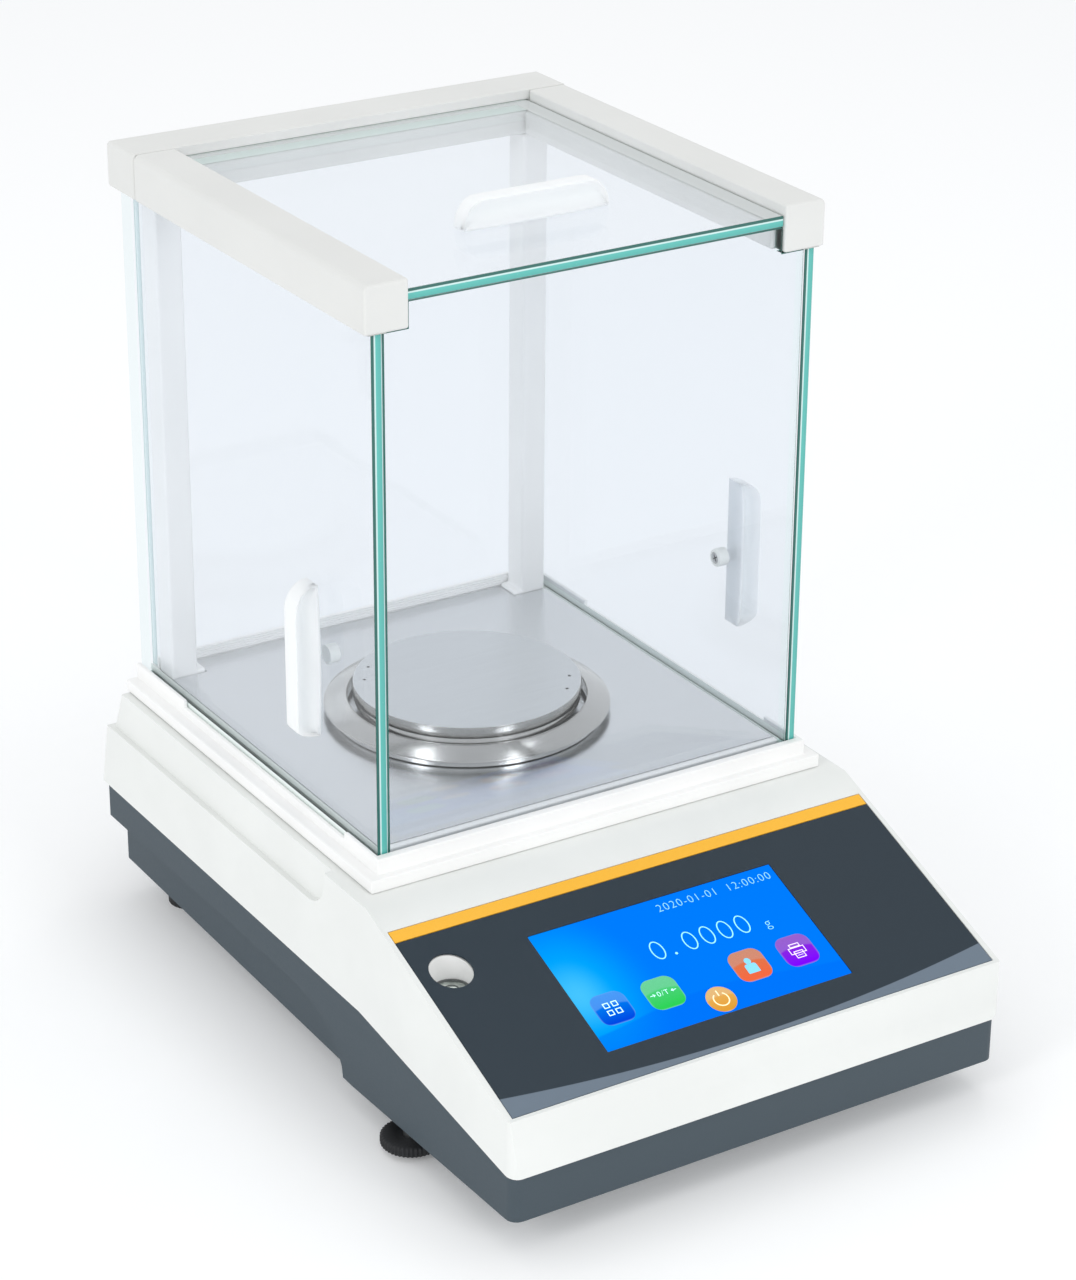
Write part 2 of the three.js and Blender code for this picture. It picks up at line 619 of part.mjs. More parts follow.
function rearPost() {
  const zFoot = zSeat + SEAT;
  const y0 = postBack - POST_DEPTH;
  return box([postInner, y0, zFoot], [postOuter, postBack, zRail - SEAT])
    .add(box([postFootInner, y0, zFoot], [postOuter, postBack, zFloor + POST_FOOT_RISE]));
}

const rearSill = () =>
  box([-plateHalf, sillFront, zFloor + SEAT], [plateHalf, sillBack, zFloor + SILL_RISE]);

function sideRail() {
  const section = [
    [railInner, zRail], [halfFrame, zRail], [halfFrame, zTop - RAIL_EDGE], [halfFrame - RAIL_EDGE, zTop],
    [railInner, zTop],
  ];
  const railEnd = rearRailFront - SEAT;
  const ledge = box([railInner - TOP_LEDGE, slotBack, zRail],
    [railInner + TOP_LEDGE, railEnd, zTopPaneUnder - SEAT]);
  return frontProfile(section, railFront, railEnd).add(ledge).subtract(railTrack);
}

function rearRail() {
  const section = [
    [rearRailFront, zRail], [railBack, zRail], [railBack, zTop - RAIL_EDGE], [railBack - RAIL_EDGE, zTop],
    [rearRailFront, zTop],
  ];
  return sideProfile(section, -halfFrame, halfFrame)
    .subtract(bothSides(railTrack))
    .subtract(box([-railInner, rearRailFront - CUT, zTopPaneUnder - SEAT],
      [railInner, back, zTopPane + RUN]))
    .subtract(box([-plateHalf - SEAT, rearPaneFront - SEAT, zRail - CUT],
      [plateHalf + SEAT, rearPaneFront + GLASS + SEAT, zRail + REAR_PANE_GRIP + SEAT]));
}

// ---- Panes and handles ----------------------------------------------------------------------

const handleY = railFront + SIDE_HANDLE_SETBACK;
const zHandle = zFloor + SIDE_HANDLE_RISE;
const knobY = handleY + SIDE_HANDLE_WIDTH / 2;

function frontPane() {
  const half = trackInner - SEAT;
  return box([-half, frontPaneFront, zPaneFoot], [half, frontPaneBack, zRail - SEAT])
    .add(box([-topPaneHalf, frontPaneFront, zPaneFoot],
      [topPaneHalf, frontPaneBack, zTopPaneUnder - SEAT]));
}

function sidePane() {
  const pane = box([paneInner, paneStart, zPaneFoot], [paneOuter, plinthBack, doorTop]);
  const knobHole = lyingRod(KNOB_SHANK + SEAT, "x", [paneInner - CUT, knobY, zHandle], GLASS + 2 * CUT);
  return pane.subtract(knobHole);
}

// A loaf-shaped grip: flat on the glass, its two ends rounded over by their own radii.
function loaf(length, depth, startRound, endRound) {
  const half = length / 2;
  return [
    [-half, 0], [half, 0],
    ...arc([half - endRound, depth - endRound], [endRound, endRound], 0, Math.PI / 2, 5),
    ...arc([startRound - half, depth - startRound], [startRound, startRound], Math.PI / 2, Math.PI, 5),
  ];
}

function sideHandle() {
  const outline = loaf(SIDE_HANDLE_LENGTH, HANDLE_DEPTH, HANDLE_ROUND, HANDLE_FOOT_ROUND)
    .map(([a, b]) => [paneOuter + SEAT + b, zHandle - a]);
  return frontProfile(outline, handleY, handleY + SIDE_HANDLE_WIDTH)
    .subtract(lyingRod(KNOB_SHANK + SEAT, "x", [paneOuter, knobY, zHandle], SHANK_GRIP + 2 * SEAT));
}

function sideKnob() {
  const face = paneInner - SEAT;
  const head = lyingRod(KNOB_RADIUS, "x", [face - KNOB_LENGTH, knobY, zHandle], KNOB_LENGTH, 24);
  const shank = lyingRod(KNOB_SHANK, "x", [face - SEAT, knobY, zHandle], GLASS + 2 * SEAT + SHANK_GRIP);
  return head.add(shank);
}

function topHandle() {
  const outline = loaf(TOP_HANDLE_LENGTH, TOP_HANDLE_HEIGHT, HANDLE_ROUND, HANDLE_ROUND)
    .map(([a, b]) => [a, zTopPane + SEAT + b]);
  const y0 = railFront + TOP_HANDLE_SETBACK;
  return frontProfile(outline, y0, y0 + TOP_HANDLE_WIDTH);
}

// ---- Pan, ring and cell -----------------------------------------------------------------------

const zPanUnder = zPan - PAN_SHEET;
const zStemFoot = zPanUnder - SEAT - CARRIER_STEM;
const zSocketRoof = zPanUnder - SEAT - PAN_SHEET * 3;

function pan() {
  const lip = PAN_RADIUS - PAN_LIP_INSET;
  const zSkirt = zPan - PAN_RIM;
  return turned([
    [0, zPanUnder], [lip - PAN_SHEET, zPanUnder], [lip - PAN_SHEET, zSkirt - PAN_LIP],
    [lip, zSkirt - PAN_LIP], [lip, zSkirt], [PAN_RADIUS, zSkirt], [PAN_RADIUS, zPan - PAN_EDGE],
    [PAN_RADIUS - PAN_EDGE, zPan], [0, zPan],
  ], 0, panY);
}

function carrier() {
  const zFlange = zPanUnder - SEAT;
  const socket = RECEIVER_RADIUS + RUN;
  return turned([
    [0, zSocketRoof], [socket, zSocketRoof], [socket, zStemFoot], [CARRIER_STEM_RADIUS, zStemFoot],
    [CARRIER_STEM_RADIUS, zFlange - 2 * PAN_SHEET], [CARRIER_FLANGE_RADIUS, zFlange - PAN_SHEET],
    [CARRIER_FLANGE_RADIUS, zFlange], [0, zFlange],
  ], 0, panY, 32);
}

function draftRing() {
  const inner = PAN_RADIUS + PAN_GAP;
  const outer = inner + RING_WIDTH;
  const foot = outer - RING_HEM_INSET;
  const zEdge = zFloor + RING_EDGE_RISE;
  const zInner = zFloor + RING_RISE;
  const zLipFoot = zFloor + RING_LIP_GAP;
  const slope = (zInner - zEdge) / (outer - inner);
  const under = (radius) => [radius, zEdge + (outer - radius) * slope - RING_WALL];
  return turned([
    [inner, zLipFoot], [inner + RING_WALL, zLipFoot], under(inner + RING_WALL), under(foot - RING_WALL),
    [foot - RING_WALL, zFloor + SEAT], [foot, zFloor + SEAT], [foot, zEdge - RING_HEM],
    [outer, zEdge - RING_HEM], [outer, zEdge], [inner + RING_TOP, zInner], [inner, zInner],
    [inner, zLipFoot],
  ], 0, panY);
}

const zCellBase = zBase + SHELL + SEAT;
const zCell = zCellBase + CELL_BASE + SEAT;
const cellFront = panY - CELL_FREE_END;
const zBridge = zCell + CELL_HEIGHT + SEAT;

function cell() {
  const half = CELL_WIDTH / 2;
  const block = box([-half, cellFront, zCell], [half, cellFront + CELL_LENGTH, zCell + CELL_HEIGHT]);
  const window = box([-half - CUT, cellFront + 2 * CELL_WALL, zCell + CELL_WALL],
    [half + CUT, cellFront + CELL_LENGTH - 3 * CELL_WALL, zCell + CELL_HEIGHT - CELL_WALL]);
  const free = box([-half - CUT, cellFront - CUT, zCell - CUT],
    [half + CUT, cellFront + 2 * CELL_WALL, zCell + CUT]);
  return block.subtract(window).subtract(free);
}

function receiver() {
  const arm = box([-2 * RECEIVER_RADIUS, cellFront, zBridge],
    [2 * RECEIVER_RADIUS, panY + 2 * RECEIVER_RADIUS, zBridge + BRIDGE]);
  return arm.add(rod(RECEIVER_RADIUS, 0, panY, zBridge, zSocketRoof - RUN, 20));
}

function cellBase() {
  const half = CELL_WIDTH / 2 + CELL_BASE_MARGIN;
  return box([-half, cellFront - CELL_BASE_MARGIN, zCellBase],
    [half, cellFront + CELL_LENGTH + CELL_BASE_MARGIN, zCellBase + CELL_BASE]);
}

// ---- Rear connectors --------------------------------------------------------------------------

const zBay = zBase + BAY_RISE;
const zBayMiddle = zBay + BAY_HEIGHT / 2;
const panelBack = back - BAY_SETBACK;

function bayBox(inset, y0, y1) {
  return box([BAY_OFFSET - BAY_WIDTH / 2 + inset, y0, zBay + inset],
    [BAY_OFFSET + BAY_WIDTH / 2 - inset, y1, zBay + BAY_HEIGHT - inset]);
}

function portShell(grow, y0, y1) {
  const x = BAY_OFFSET + PORT_OFFSET;
  return box([x - PORT_WIDTH / 2 - grow, y0, zBayMiddle - PORT_HEIGHT / 2 - grow],
    [x + PORT_WIDTH / 2 + grow, y1, zBayMiddle + PORT_HEIGHT / 2 + grow]);
}

function rearPanel() {
  const hole = lyingRod(SOCKET_RADIUS + SEAT, "y",
    [BAY_OFFSET + SOCKET_OFFSET, panelBack - BAY_PANEL - CUT, zBayMiddle], BAY_PANEL + 2 * CUT, 24);
  return bayBox(SEAT, panelBack - BAY_PANEL, panelBack)
    .subtract(hole)
    .subtract(portShell(SEAT, panelBack - BAY_PANEL - CUT, back));
}

function powerSocket() {
  const place = [BAY_OFFSET + SOCKET_OFFSET, panelBack - SOCKET_LENGTH, zBayMiddle];
  const mouth = [place[0], panelBack - SOCKET_LENGTH + SHELL, zBayMiddle];
  return lyingRod(SOCKET_RADIUS, "y", place, SOCKET_LENGTH, 24)
    .subtract(lyingRod(SOCKET_BORE, "y", mouth, SOCKET_LENGTH, 20));
}

function serialPort() {
  return portShell(0, panelBack - PORT_LENGTH, panelBack + BAY_PANEL)
    .subtract(portShell(-PORT_WALL, panelBack + BAY_PANEL - PORT_CAVITY, back));
}

// ---- Feet and screws --------------------------------------------------------------------------

const zWheel = PAD_THICKNESS + SEAT;

function footWheel(x) {
  const rim = Array.from({ length: 2 * WHEEL_TEETH }, (_, step) => {
    const angle = (Math.PI * step) / WHEEL_TEETH;
    const radius = WHEEL_RADIUS - (step % 2) * KNURL;
    return [x + radius * Math.cos(angle), footY + radius * Math.sin(angle)];
  });
  return planProfile(rim, zWheel, zWheel + WHEEL_THICKNESS, [circle([x, footY], STUD_RADIUS + SEAT, 20)]);
}

const footStud = (x) =>
  rod(STUD_RADIUS, x, footY, zWheel, zWheel + WHEEL_THICKNESS + STUD_LENGTH, 20);
const footPad = (x) => rod(PAD_RADIUS, x, footY, 0, PAD_THICKNESS, 24);
const rearFoot = (x) => rod(REAR_FOOT_RADIUS, x, rearFootY, 0, zBase + FOOT_SOCKET - SEAT, 24);

function chassisScrew(x, y) {
  return rod(SCREW_HEAD_RADIUS, x, y, zHead - SCREW_HEAD, zHead, 20)
    .add(rod(SCREW_RADIUS, x, y, zHead - SCREW_HEAD / 2, zHead + SCREW_LENGTH, 16));
}

// ---- Assembly -----------------------------------------------------------------------------------

add("lower_chassis", chassis(), slatePaint);
add("upper_housing", housing(), whitePlastic);
add("console_overlay", overlay(), overlayFilm);
add("accent_stripe", consoleSlab(-panelHalf, panelHalf, STRIPE_SETBACK, stripeEnd, 0, OVERLAY), orangeFilm);
add("touch_screen", consoleSlab(screenLeft, screenRight, screenStart, screenEnd, 0, OVERLAY), screenGlass);
add("display_module", consoleSlab(screenLeft + SCREEN_SURROUND + SEAT, screenRight - SCREEN_SURROUND - SEAT,
  screenStart + SCREEN_SURROUND + SEAT, screenEnd - SCREEN_SURROUND - SEAT, recess, recess + DISPLAY_DEPTH),
blackPlastic);
add("level_well", levelWell(), whitePlastic);
add("level_vial", rod(LEVEL_RADIUS - SEAT, LEVEL_OFFSET, levelY, zVial - VIAL_HEIGHT, zVial, 32),
  clearGlass);

add("plinth_frame", plinth(), whitePlastic);
add("floor_plate", floorPlate(), satinSteel);
add("rear_sill", rearSill(), whitePlastic);
add("rear_top_rail", rearRail(), whitePlastic);
add("front_glass", frontPane(), clearGlass);
add("rear_glass", box([-plateHalf, rearPaneFront, zFloor + SEAT],
  [plateHalf, rearPaneFront + GLASS, zRail + REAR_PANE_GRIP]), clearGlass);
add("top_door_glass", box([-topPaneHalf, frontPaneFront, zTopPaneUnder],
  [topPaneHalf, rearRailFront + TOP_PANE_LAP, zTopPane]), clearGlass);
add("top_door_handle", topHandle(), whitePlastic);

for (const [side, place] of [["right", (piece) => piece], ["left", mirrored]]) {
  add(`${side}_top_rail`, place(sideRail()), whitePlastic);
  add(`${side}_rear_post`, place(rearPost()), whitePlastic);
  add(`${side}_door_glass`, place(sidePane()), clearGlass);
  add(`${side}_door_handle`, place(sideHandle()), whitePlastic);
  add(`${side}_door_knob`, place(sideKnob()), whitePlastic);
  add(`${side}_foot_wheel`, place(footWheel(footX)), blackPlastic);
  add(`${side}_foot_stud`, place(footStud(footX)), satinSteel);
  add(`${side}_foot_pad`, place(footPad(footX)), rubber);
  add(`${side}_rear_foot`, place(rearFoot(rearFootX)), rubber);
}

add("weighing_pan", pan(), satinSteel);
add("pan_carrier", carrier(), brightSteel);
add("draft_ring", draftRing(), brightSteel);
add("load_receiver", receiver(), aluminium);
add("load_cell", cell(), aluminium);
add("cell_base", cellBase(), aluminium);
add("main_board", box([-BOARD_WIDTH / 2, boardFront, zBoard], [BOARD_WIDTH / 2, boardFront + BOARD_LENGTH,
  zBoard + BOARD]), boardGreen);
add("rear_panel", rearPanel(), blackPlastic);
add("power_socket", powerSocket(), blackPlastic);
add("serial_port", serialPort(), satinSteel);
for (const [place, side, y] of screwPlaces) {
  add(`chassis_screw_${place}`, chassisScrew(side * screwX, y), satinSteel);
}

export default balance;
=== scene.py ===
"""Looks of an analytical balance: a white and slate base with a touch console under a glass draft shield."""

import logging
import math
from dataclasses import dataclass
from enum import Enum
from typing import Iterable, Sequence

import bmesh
import bpy
import numpy as np
from mathutils import Matrix, Vector


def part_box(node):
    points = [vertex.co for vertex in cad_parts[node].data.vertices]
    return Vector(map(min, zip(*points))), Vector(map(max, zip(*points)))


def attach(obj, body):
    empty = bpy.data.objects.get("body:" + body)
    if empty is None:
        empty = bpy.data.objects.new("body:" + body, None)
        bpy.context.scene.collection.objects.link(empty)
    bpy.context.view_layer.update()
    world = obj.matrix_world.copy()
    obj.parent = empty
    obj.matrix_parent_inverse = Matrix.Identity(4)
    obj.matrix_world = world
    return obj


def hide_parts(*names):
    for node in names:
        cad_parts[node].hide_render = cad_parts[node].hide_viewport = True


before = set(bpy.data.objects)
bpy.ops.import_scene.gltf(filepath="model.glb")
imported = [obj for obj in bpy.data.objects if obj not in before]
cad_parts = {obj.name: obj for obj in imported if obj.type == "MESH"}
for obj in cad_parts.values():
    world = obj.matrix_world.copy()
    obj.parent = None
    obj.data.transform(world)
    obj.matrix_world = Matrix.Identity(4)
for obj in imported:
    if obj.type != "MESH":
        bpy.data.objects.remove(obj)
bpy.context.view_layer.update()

log = logging.getLogger("balance")

MM = 0.001
TAU = 2 * math.pi
SLOPE = math.radians(20.5)  # of the console
SHARP = 35.0  # degrees; edges over this stay sharp
LEAF = 0.02 * MM  # half the thickness of lettering
Pair = tuple[float, float]
Triple = tuple[float, float, float]
Colour = Triple
Array = np.ndarray
Piece = bpy.types.Object


# ---- Shader graphs ---------------------------------------------------------------------------


class Wire:
    """A shader output socket that can be used in Python arithmetic."""

    def __init__(self, graph: "Graph", socket: bpy.types.NodeSocket) -> None:
        """Wraps one output socket of a graph."""
        self.graph = graph
        self.socket = socket

    def _math(self, operation: str, *values: "Wire | float") -> "Wire":
        """Adds one Math node fed with the given values."""
        return self.graph.node("ShaderNodeMath", {"operation": operation}, dict(enumerate(values)))

    def __add__(self, other: "Wire | float") -> "Wire":
        """self + other."""
        return self._math("ADD", self, other)

    __radd__ = __add__

    def __sub__(self, other: "Wire | float") -> "Wire":
        """self - other."""
        return self._math("SUBTRACT", self, other)

    def __rsub__(self, other: "Wire | float") -> "Wire":
        """other - self."""
        return self._math("SUBTRACT", other, self)

    def __mul__(self, other: "Wire | float") -> "Wire":
        """self * other."""
        return self._math("MULTIPLY", self, other)

    __rmul__ = __mul__

    def __truediv__(self, other: "Wire | float") -> "Wire":
        """self / other."""
        return self._math("DIVIDE", self, other)

    def __pow__(self, other: float) -> "Wire":
        """self to the power other."""
        return self._math("POWER", self, other)

    def __abs__(self) -> "Wire":
        """Size of self."""
        return self._math("ABSOLUTE", self)

    def wave(self) -> "Wire":
        """Sine of self."""
        return self._math("SINE", self)

    def step(self, start: float, end: float) -> "Wire":
        """0 at start to 1 at end, clamped, and smooth between."""
        return self.graph.node(
            "ShaderNodeMapRange",
            {"interpolation_type": "SMOOTHSTEP"},
            {"Value": self, "From Min": start, "From Max": end},
        )


class Graph:
    """The node tree of one material, with a Principled shader ready to be fed."""

    def __init__(self, name: str) -> None:
        """Makes an empty material of that name."""
        self.material = bpy.data.materials.new(name)
        self.material.use_nodes = True
        self.tree = self.material.node_tree
        self.tree.nodes.clear()
        self.shader = self.tree.nodes.new("ShaderNodeBsdfPrincipled")
        self.output = self.tree.nodes.new("ShaderNodeOutputMaterial")
        self.tree.links.new(self.shader.outputs[0], self.output.inputs["Surface"])

    def node(
        self,
        kind: str,
        settings: dict[str, object] | None = None,
        inputs: dict[str | int, object] | None = None,
        output: str | int = 0,
    ) -> Wire:
        """Adds one node.

        Args:
            kind: type of the node.
            settings: properties, set before the sockets; "stops" fills a colour ramp.
            inputs: socket name or number to a Wire or a value.
            output: which output to hand back.

        Returns:
            The chosen output as a Wire.
        """
        made = self.tree.nodes.new(kind)
        for key, value in (settings or {}).items():
            if key == "stops":
                ramp = made.color_ramp.elements
                while len(ramp) < len(value):
                    ramp.new(0.5)
                for element, (place, colour) in zip(ramp, value):
                    element.position = place
                    element.color = (*colour, 1.0)
            else:
                setattr(made, key, value)
        for key, value in (inputs or {}).items():
            socket = made.inputs[key]
            if isinstance(value, Wire):
                self.tree.links.new(value.socket, socket)
            elif isinstance(value, tuple) and len(value) == 3 and socket.type == "RGBA":
                socket.default_value = (*value, 1.0)[: len(socket.default_value)]
            else:
                socket.default_value = value
        return Wire(self, made.outputs[output])

    def place(self) -> tuple[Wire, Wire, Wire]:
        """x, y and z of the surface point, in metres."""
        point = self.node("ShaderNodeTexCoord", output="Object")
        parts = [self.node("ShaderNodeSeparateXYZ", {}, {0: point}, axis) for axis in range(3)]
        return parts[0], parts[1], parts[2]

    def stretched(self, scale: Triple) -> Wire:
        """Object coordinates multiplied by a factor on each axis."""
        point = self.node("ShaderNodeTexCoord", output="Object")
        return self.node("ShaderNodeMapping", {}, {"Vector": point, "Scale": scale})

    def noise(self, scale: float, detail: float = 2.0, vector: Wire | None = None) -> Wire:
        """Noise between 0 and 1 with that many grains a metre."""
        point = vector or self.node("ShaderNodeTexCoord", output="Object")
        return self.node(
            "ShaderNodeTexNoise", {}, {"Vector": point, "Scale": scale, "Detail": detail}
        )

    def mix(self, share: Wire | float, low: Wire | Colour, high: Wire | Colour) -> Wire:
        """Blends two colours: low at 0, high at 1."""
        return self.node(
            "ShaderNodeMix", {"data_type": "RGBA"}, {0: share, 6: low, 7: high}, output=2
        )

    def bump(self, height: Wire, depth: float, strength: float = 1.0) -> Wire:
        """A normal from a height of 0 to 1 that stands for depth metres."""
        return self.node(
            "ShaderNodeBump", {}, {"Height": height, "Distance": depth, "Strength": strength}
        )

    def feed(self, **sockets: object) -> bpy.types.Material:
        """Sets or links the Principled shader's sockets, named with underscores for spaces."""
        for key, value in sockets.items():
            socket = self.shader.inputs[key.replace("_", " ")]
            if isinstance(value, Wire):
                self.tree.links.new(value.socket, socket)
            elif isinstance(value, tuple):
                socket.default_value = (*value, 1.0)[: len(socket.default_value)]
            else:
                socket.default_value = value
        return self.material

    def show(self, shader: Wire) -> bpy.types.Material:
        """Puts another shader on the surface, in place of the Principled one alone."""
        self.tree.links.new(shader.socket, self.output.inputs["Surface"])
        if not self.shader.outputs[0].links:
            self.tree.nodes.remove(self.shader)
        return self.material


# ---- Finishes --------------------------------------------------------------------------------


class Finish:
    """A way a surface is finished. Each kind makes its material once."""

    _made: dict["Finish", bpy.types.Material] = {}

    def material(self) -> bpy.types.Material:
        """The material, made on first use."""
        if self not in Finish._made:
            Finish._made[self] = self.build(Graph(type(self).__name__))
        return Finish._made[self]

    def build(self, graph: Graph) -> bpy.types.Material:
        """Fills a graph with this finish."""
        raise NotImplementedError


@dataclass(frozen=True)
class Moulding(Finish):
    """Moulded plastic: a soft sheen, a fine spark-eroded grain and faint flow marks."""

    colour: Colour = (0.775, 0.775, 0.755)
    roughness: float = 0.45
    grain: float = 3500.0
    depth: float = 0.00002

    def build(self, graph: Graph) -> bpy.types.Material:
        """Colour and roughness wander slowly; the bump is the mould's grain."""
        cloud = graph.noise(22.0, 3.0)
        fine = graph.noise(self.grain, 2.0)
        darker = tuple(channel * 0.965 for channel in self.colour)
        return graph.feed(
            Base_Color=graph.mix(cloud.step(0.3, 0.7), darker, self.colour),
            Roughness=self.roughness + 0.08 * (fine - 0.5) + 0.06 * (cloud - 0.5),
            Normal=graph.bump(fine, self.depth, 0.35),
        )


@dataclass(frozen=True)
class Milky(Finish):
    """Milky plastic that lets some light through."""

    colour: Colour = (0.83, 0.85, 0.855)
    roughness: float = 0.35
    reach: float = 9.0 * MM

    def build(self, graph: Graph) -> bpy.types.Material:
        """Light wanders through the body; the surface keeps a faint grain."""
        grain = graph.noise(2400.0, 2.0)
        return graph.feed(
            Base_Color=graph.mix(grain, tuple(0.98 * c for c in self.colour), self.colour),
            Roughness=self.roughness + 0.06 * (grain - 0.5),
            Subsurface_Weight=0.85,
            Subsurface_Radius=(1.0, 1.0, 1.0),
            Subsurface_Scale=self.reach,
            Normal=graph.bump(grain, 0.00001, 0.3),
        )


@dataclass(frozen=True)
class Paint(Finish):
    """Sprayed paint with an orange-peel surface and tiny flakes."""

    colour: Colour = (0.062, 0.083, 0.100)
    roughness: float = 0.55
    shine: float = 0.25

    def build(self, graph: Graph) -> bpy.types.Material:
        """Orange peel is a coarse bump under a fine one; flakes lift the colour a little."""
        peel = graph.noise(900.0, 2.0)
        flake = graph.noise(4200.0, 1.0)
        lighter = tuple(channel * 1.16 for channel in self.colour)
        return graph.feed(
            Base_Color=graph.mix(flake.step(0.55, 0.8), self.colour, lighter),
            Roughness=self.roughness + 0.1 * (peel - 0.5),
            Specular_IOR_Level=self.shine,
            Normal=graph.bump(peel * 0.7 + flake * 0.3, 0.00003, 0.4),
        )


@dataclass(frozen=True)
class Brushed(Finish):
    """Satin steel, brushed along one axis."""

    colour: Colour = (0.62, 0.66, 0.7)
    roughness: float = 0.3
    along: Triple = (12.0, 900.0, 900.0)
    contrast: float = 0.04

    def build(self, graph: Graph) -> bpy.types.Material:
        """Long thin grains give streaks in roughness, colour and height."""
        streak = graph.noise(1.0, 4.0, graph.stretched(self.along))
        darker = tuple(channel * (1.0 - self.contrast) for channel in self.colour)
        return graph.feed(
            Base_Color=graph.mix(streak.step(0.25, 0.75), darker, self.colour),
            Roughness=self.roughness + 1.5 * self.contrast * (streak - 0.5),
            Metallic=1.0,
            Normal=graph.bump(streak, 0.000003, 0.2),
        )


@dataclass(frozen=True)
class Polished(Finish):
    """Polished steel with faint turning marks round a vertical axis."""

    centre: Pair = (0.0, 0.0)
    colour: Colour = (0.62, 0.62, 0.61)
    roughness: float = 0.12
    rings: float = 2600.0

    def build(self, graph: Graph) -> bpy.types.Material:
        """Rings are the sine of the distance from the axis."""
        x, y, _ = graph.place()
        radius = ((x - self.centre[0]) ** 2.0 + (y - self.centre[1]) ** 2.0) ** 0.5
        turned = (radius * self.rings * TAU).wave() * 0.5 + 0.5
        haze = graph.noise(60.0, 3.0)
        return graph.feed(
            Base_Color=graph.mix(haze, tuple(0.93 * c for c in self.colour), self.colour),
            Roughness=self.roughness + 0.05 * turned + 0.05 * (haze - 0.5),
            Metallic=1.0,
            Normal=graph.bump(turned, 0.000002, 0.25),
        )


@dataclass(frozen=True)
class Rubber(Finish):
    """Matt black rubber or plain black moulding."""

    colour: Colour = (0.014, 0.015, 0.017)
    roughness: float = 0.7

    def build(self, graph: Graph) -> bpy.types.Material:
        """A dusty bloom lightens the high grains."""
        grain = graph.noise(1500.0, 3.0)
        bloom = tuple(channel * 1.8 for channel in self.colour)
        return graph.feed(
            Base_Color=graph.mix(grain.step(0.5, 0.85), self.colour, bloom),
            Roughness=self.roughness + 0.15 * (grain - 0.5),
            Normal=graph.bump(grain, 0.00004, 0.5),
        )


@dataclass(frozen=True)
class Film(Finish):
    """Printed film over the console: dark slate, with a paler band along the front edge."""

    dark: Colour = (0.030, 0.044, 0.058)
    pale: Colour = (0.155, 0.198, 0.248)
    band_side: float = -0.1482
    band_sag: float = 0.0067
    half_width: float = 0.1033

    def build(self, graph: Graph) -> bpy.types.Material:
        """The band's edge is a parabola across the width: lowest in the middle."""
        x, y, _ = graph.place()
        edge = self.band_side - self.band_sag * (1.0 - (x / self.half_width) ** 2.0)
        band = (edge - y).step(-0.00012, 0.00012)
        grain = graph.noise(2600.0, 2.0)
        slate = graph.mix(grain, tuple(0.94 * c for c in self.dark), self.dark)
        return graph.feed(
            Base_Color=graph.mix(band, slate, self.pale),
            Roughness=0.4 + 0.06 * (grain - 0.5),
            Specular_IOR_Level=0.15,
            Normal=graph.bump(grain, 0.000006, 0.4),
        )


@dataclass(frozen=True)
class Print(Finish):
    """One flat printed or lit colour."""

    colour: Colour
    glow: float = 0.0
    roughness: float = 0.3

    def build(self, graph: Graph) -> bpy.types.Material:
        """Ink with a faint grain; a lit one also shines."""
        grain = graph.noise(3000.0, 1.0)
        return graph.feed(
            Base_Color=graph.mix(grain, tuple(0.97 * c for c in self.colour), self.colour),
            Roughness=self.roughness + 0.04 * (grain - 0.5),
            Specular_IOR_Level=0.2 if self.glow == 0 else 0.0,
            Emission_Color=self.colour,
            Emission_Strength=self.glow,
        )


@dataclass(frozen=True)
class Pane(Finish):
    """Clear float glass seen through its faces; where its track or rail grips it the faces show a pale sheet that
    glows, painted light in place of the slot's shade.
    """

    grip_axis: int = 2
    grip_start: float = -1.0
    grip_way: float = -1.0
    tint: Colour = (0.957, 0.968, 0.981)
    # colour of the painted light that glows where the pane sits in its slot
    frost: Colour = (0.76, 0.82, 0.8)
    straight: float = 0.04
    share: float = 0.8

    def build(self, graph: Graph) -> bpy.types.Material:
        """A clear tint mixed with a mirror: straight on at 0 degrees, all of it at 90, by Schlick's fifth power.

        Faint smears take a little of the mirror away.
        """
        smear = graph.noise(14.0, 4.0)
        clear = graph.node("ShaderNodeBsdfTransparent", {}, {"Color": self.tint})
        mirror = graph.node("ShaderNodeBsdfGlossy", {}, {"Color": (1.0, 1.0, 1.0), "Roughness": 0.01})
        facing = graph.node("ShaderNodeLayerWeight", {}, {"Blend": 0.5}, "Facing")
        mirrored = self.straight + (1.0 - self.straight) * facing**5.0
        kept = self.share - 0.1 * smear.step(0.5, 0.8)
        glass = graph.node("ShaderNodeMixShader", {}, {0: mirrored * kept, 1: clear, 2: mirror})
        beyond = (graph.place()[self.grip_axis] - self.grip_start) * self.grip_way
        # Painted light: inside the track or rail slot the pane shows a pale glowing sheet in place of the shade
        # there.
        graph.feed(Base_Color=self.frost, Emission_Color=self.frost, Emission_Strength=0.12, Roughness=0.5)
        painted_slot_light = Wire(graph, graph.shader.outputs[0])
        gripped = beyond.step(0.0, 0.2 * MM)
        return graph.show(graph.node("ShaderNodeMixShader", {}, {0: gripped, 1: glass, 2: painted_slot_light}))


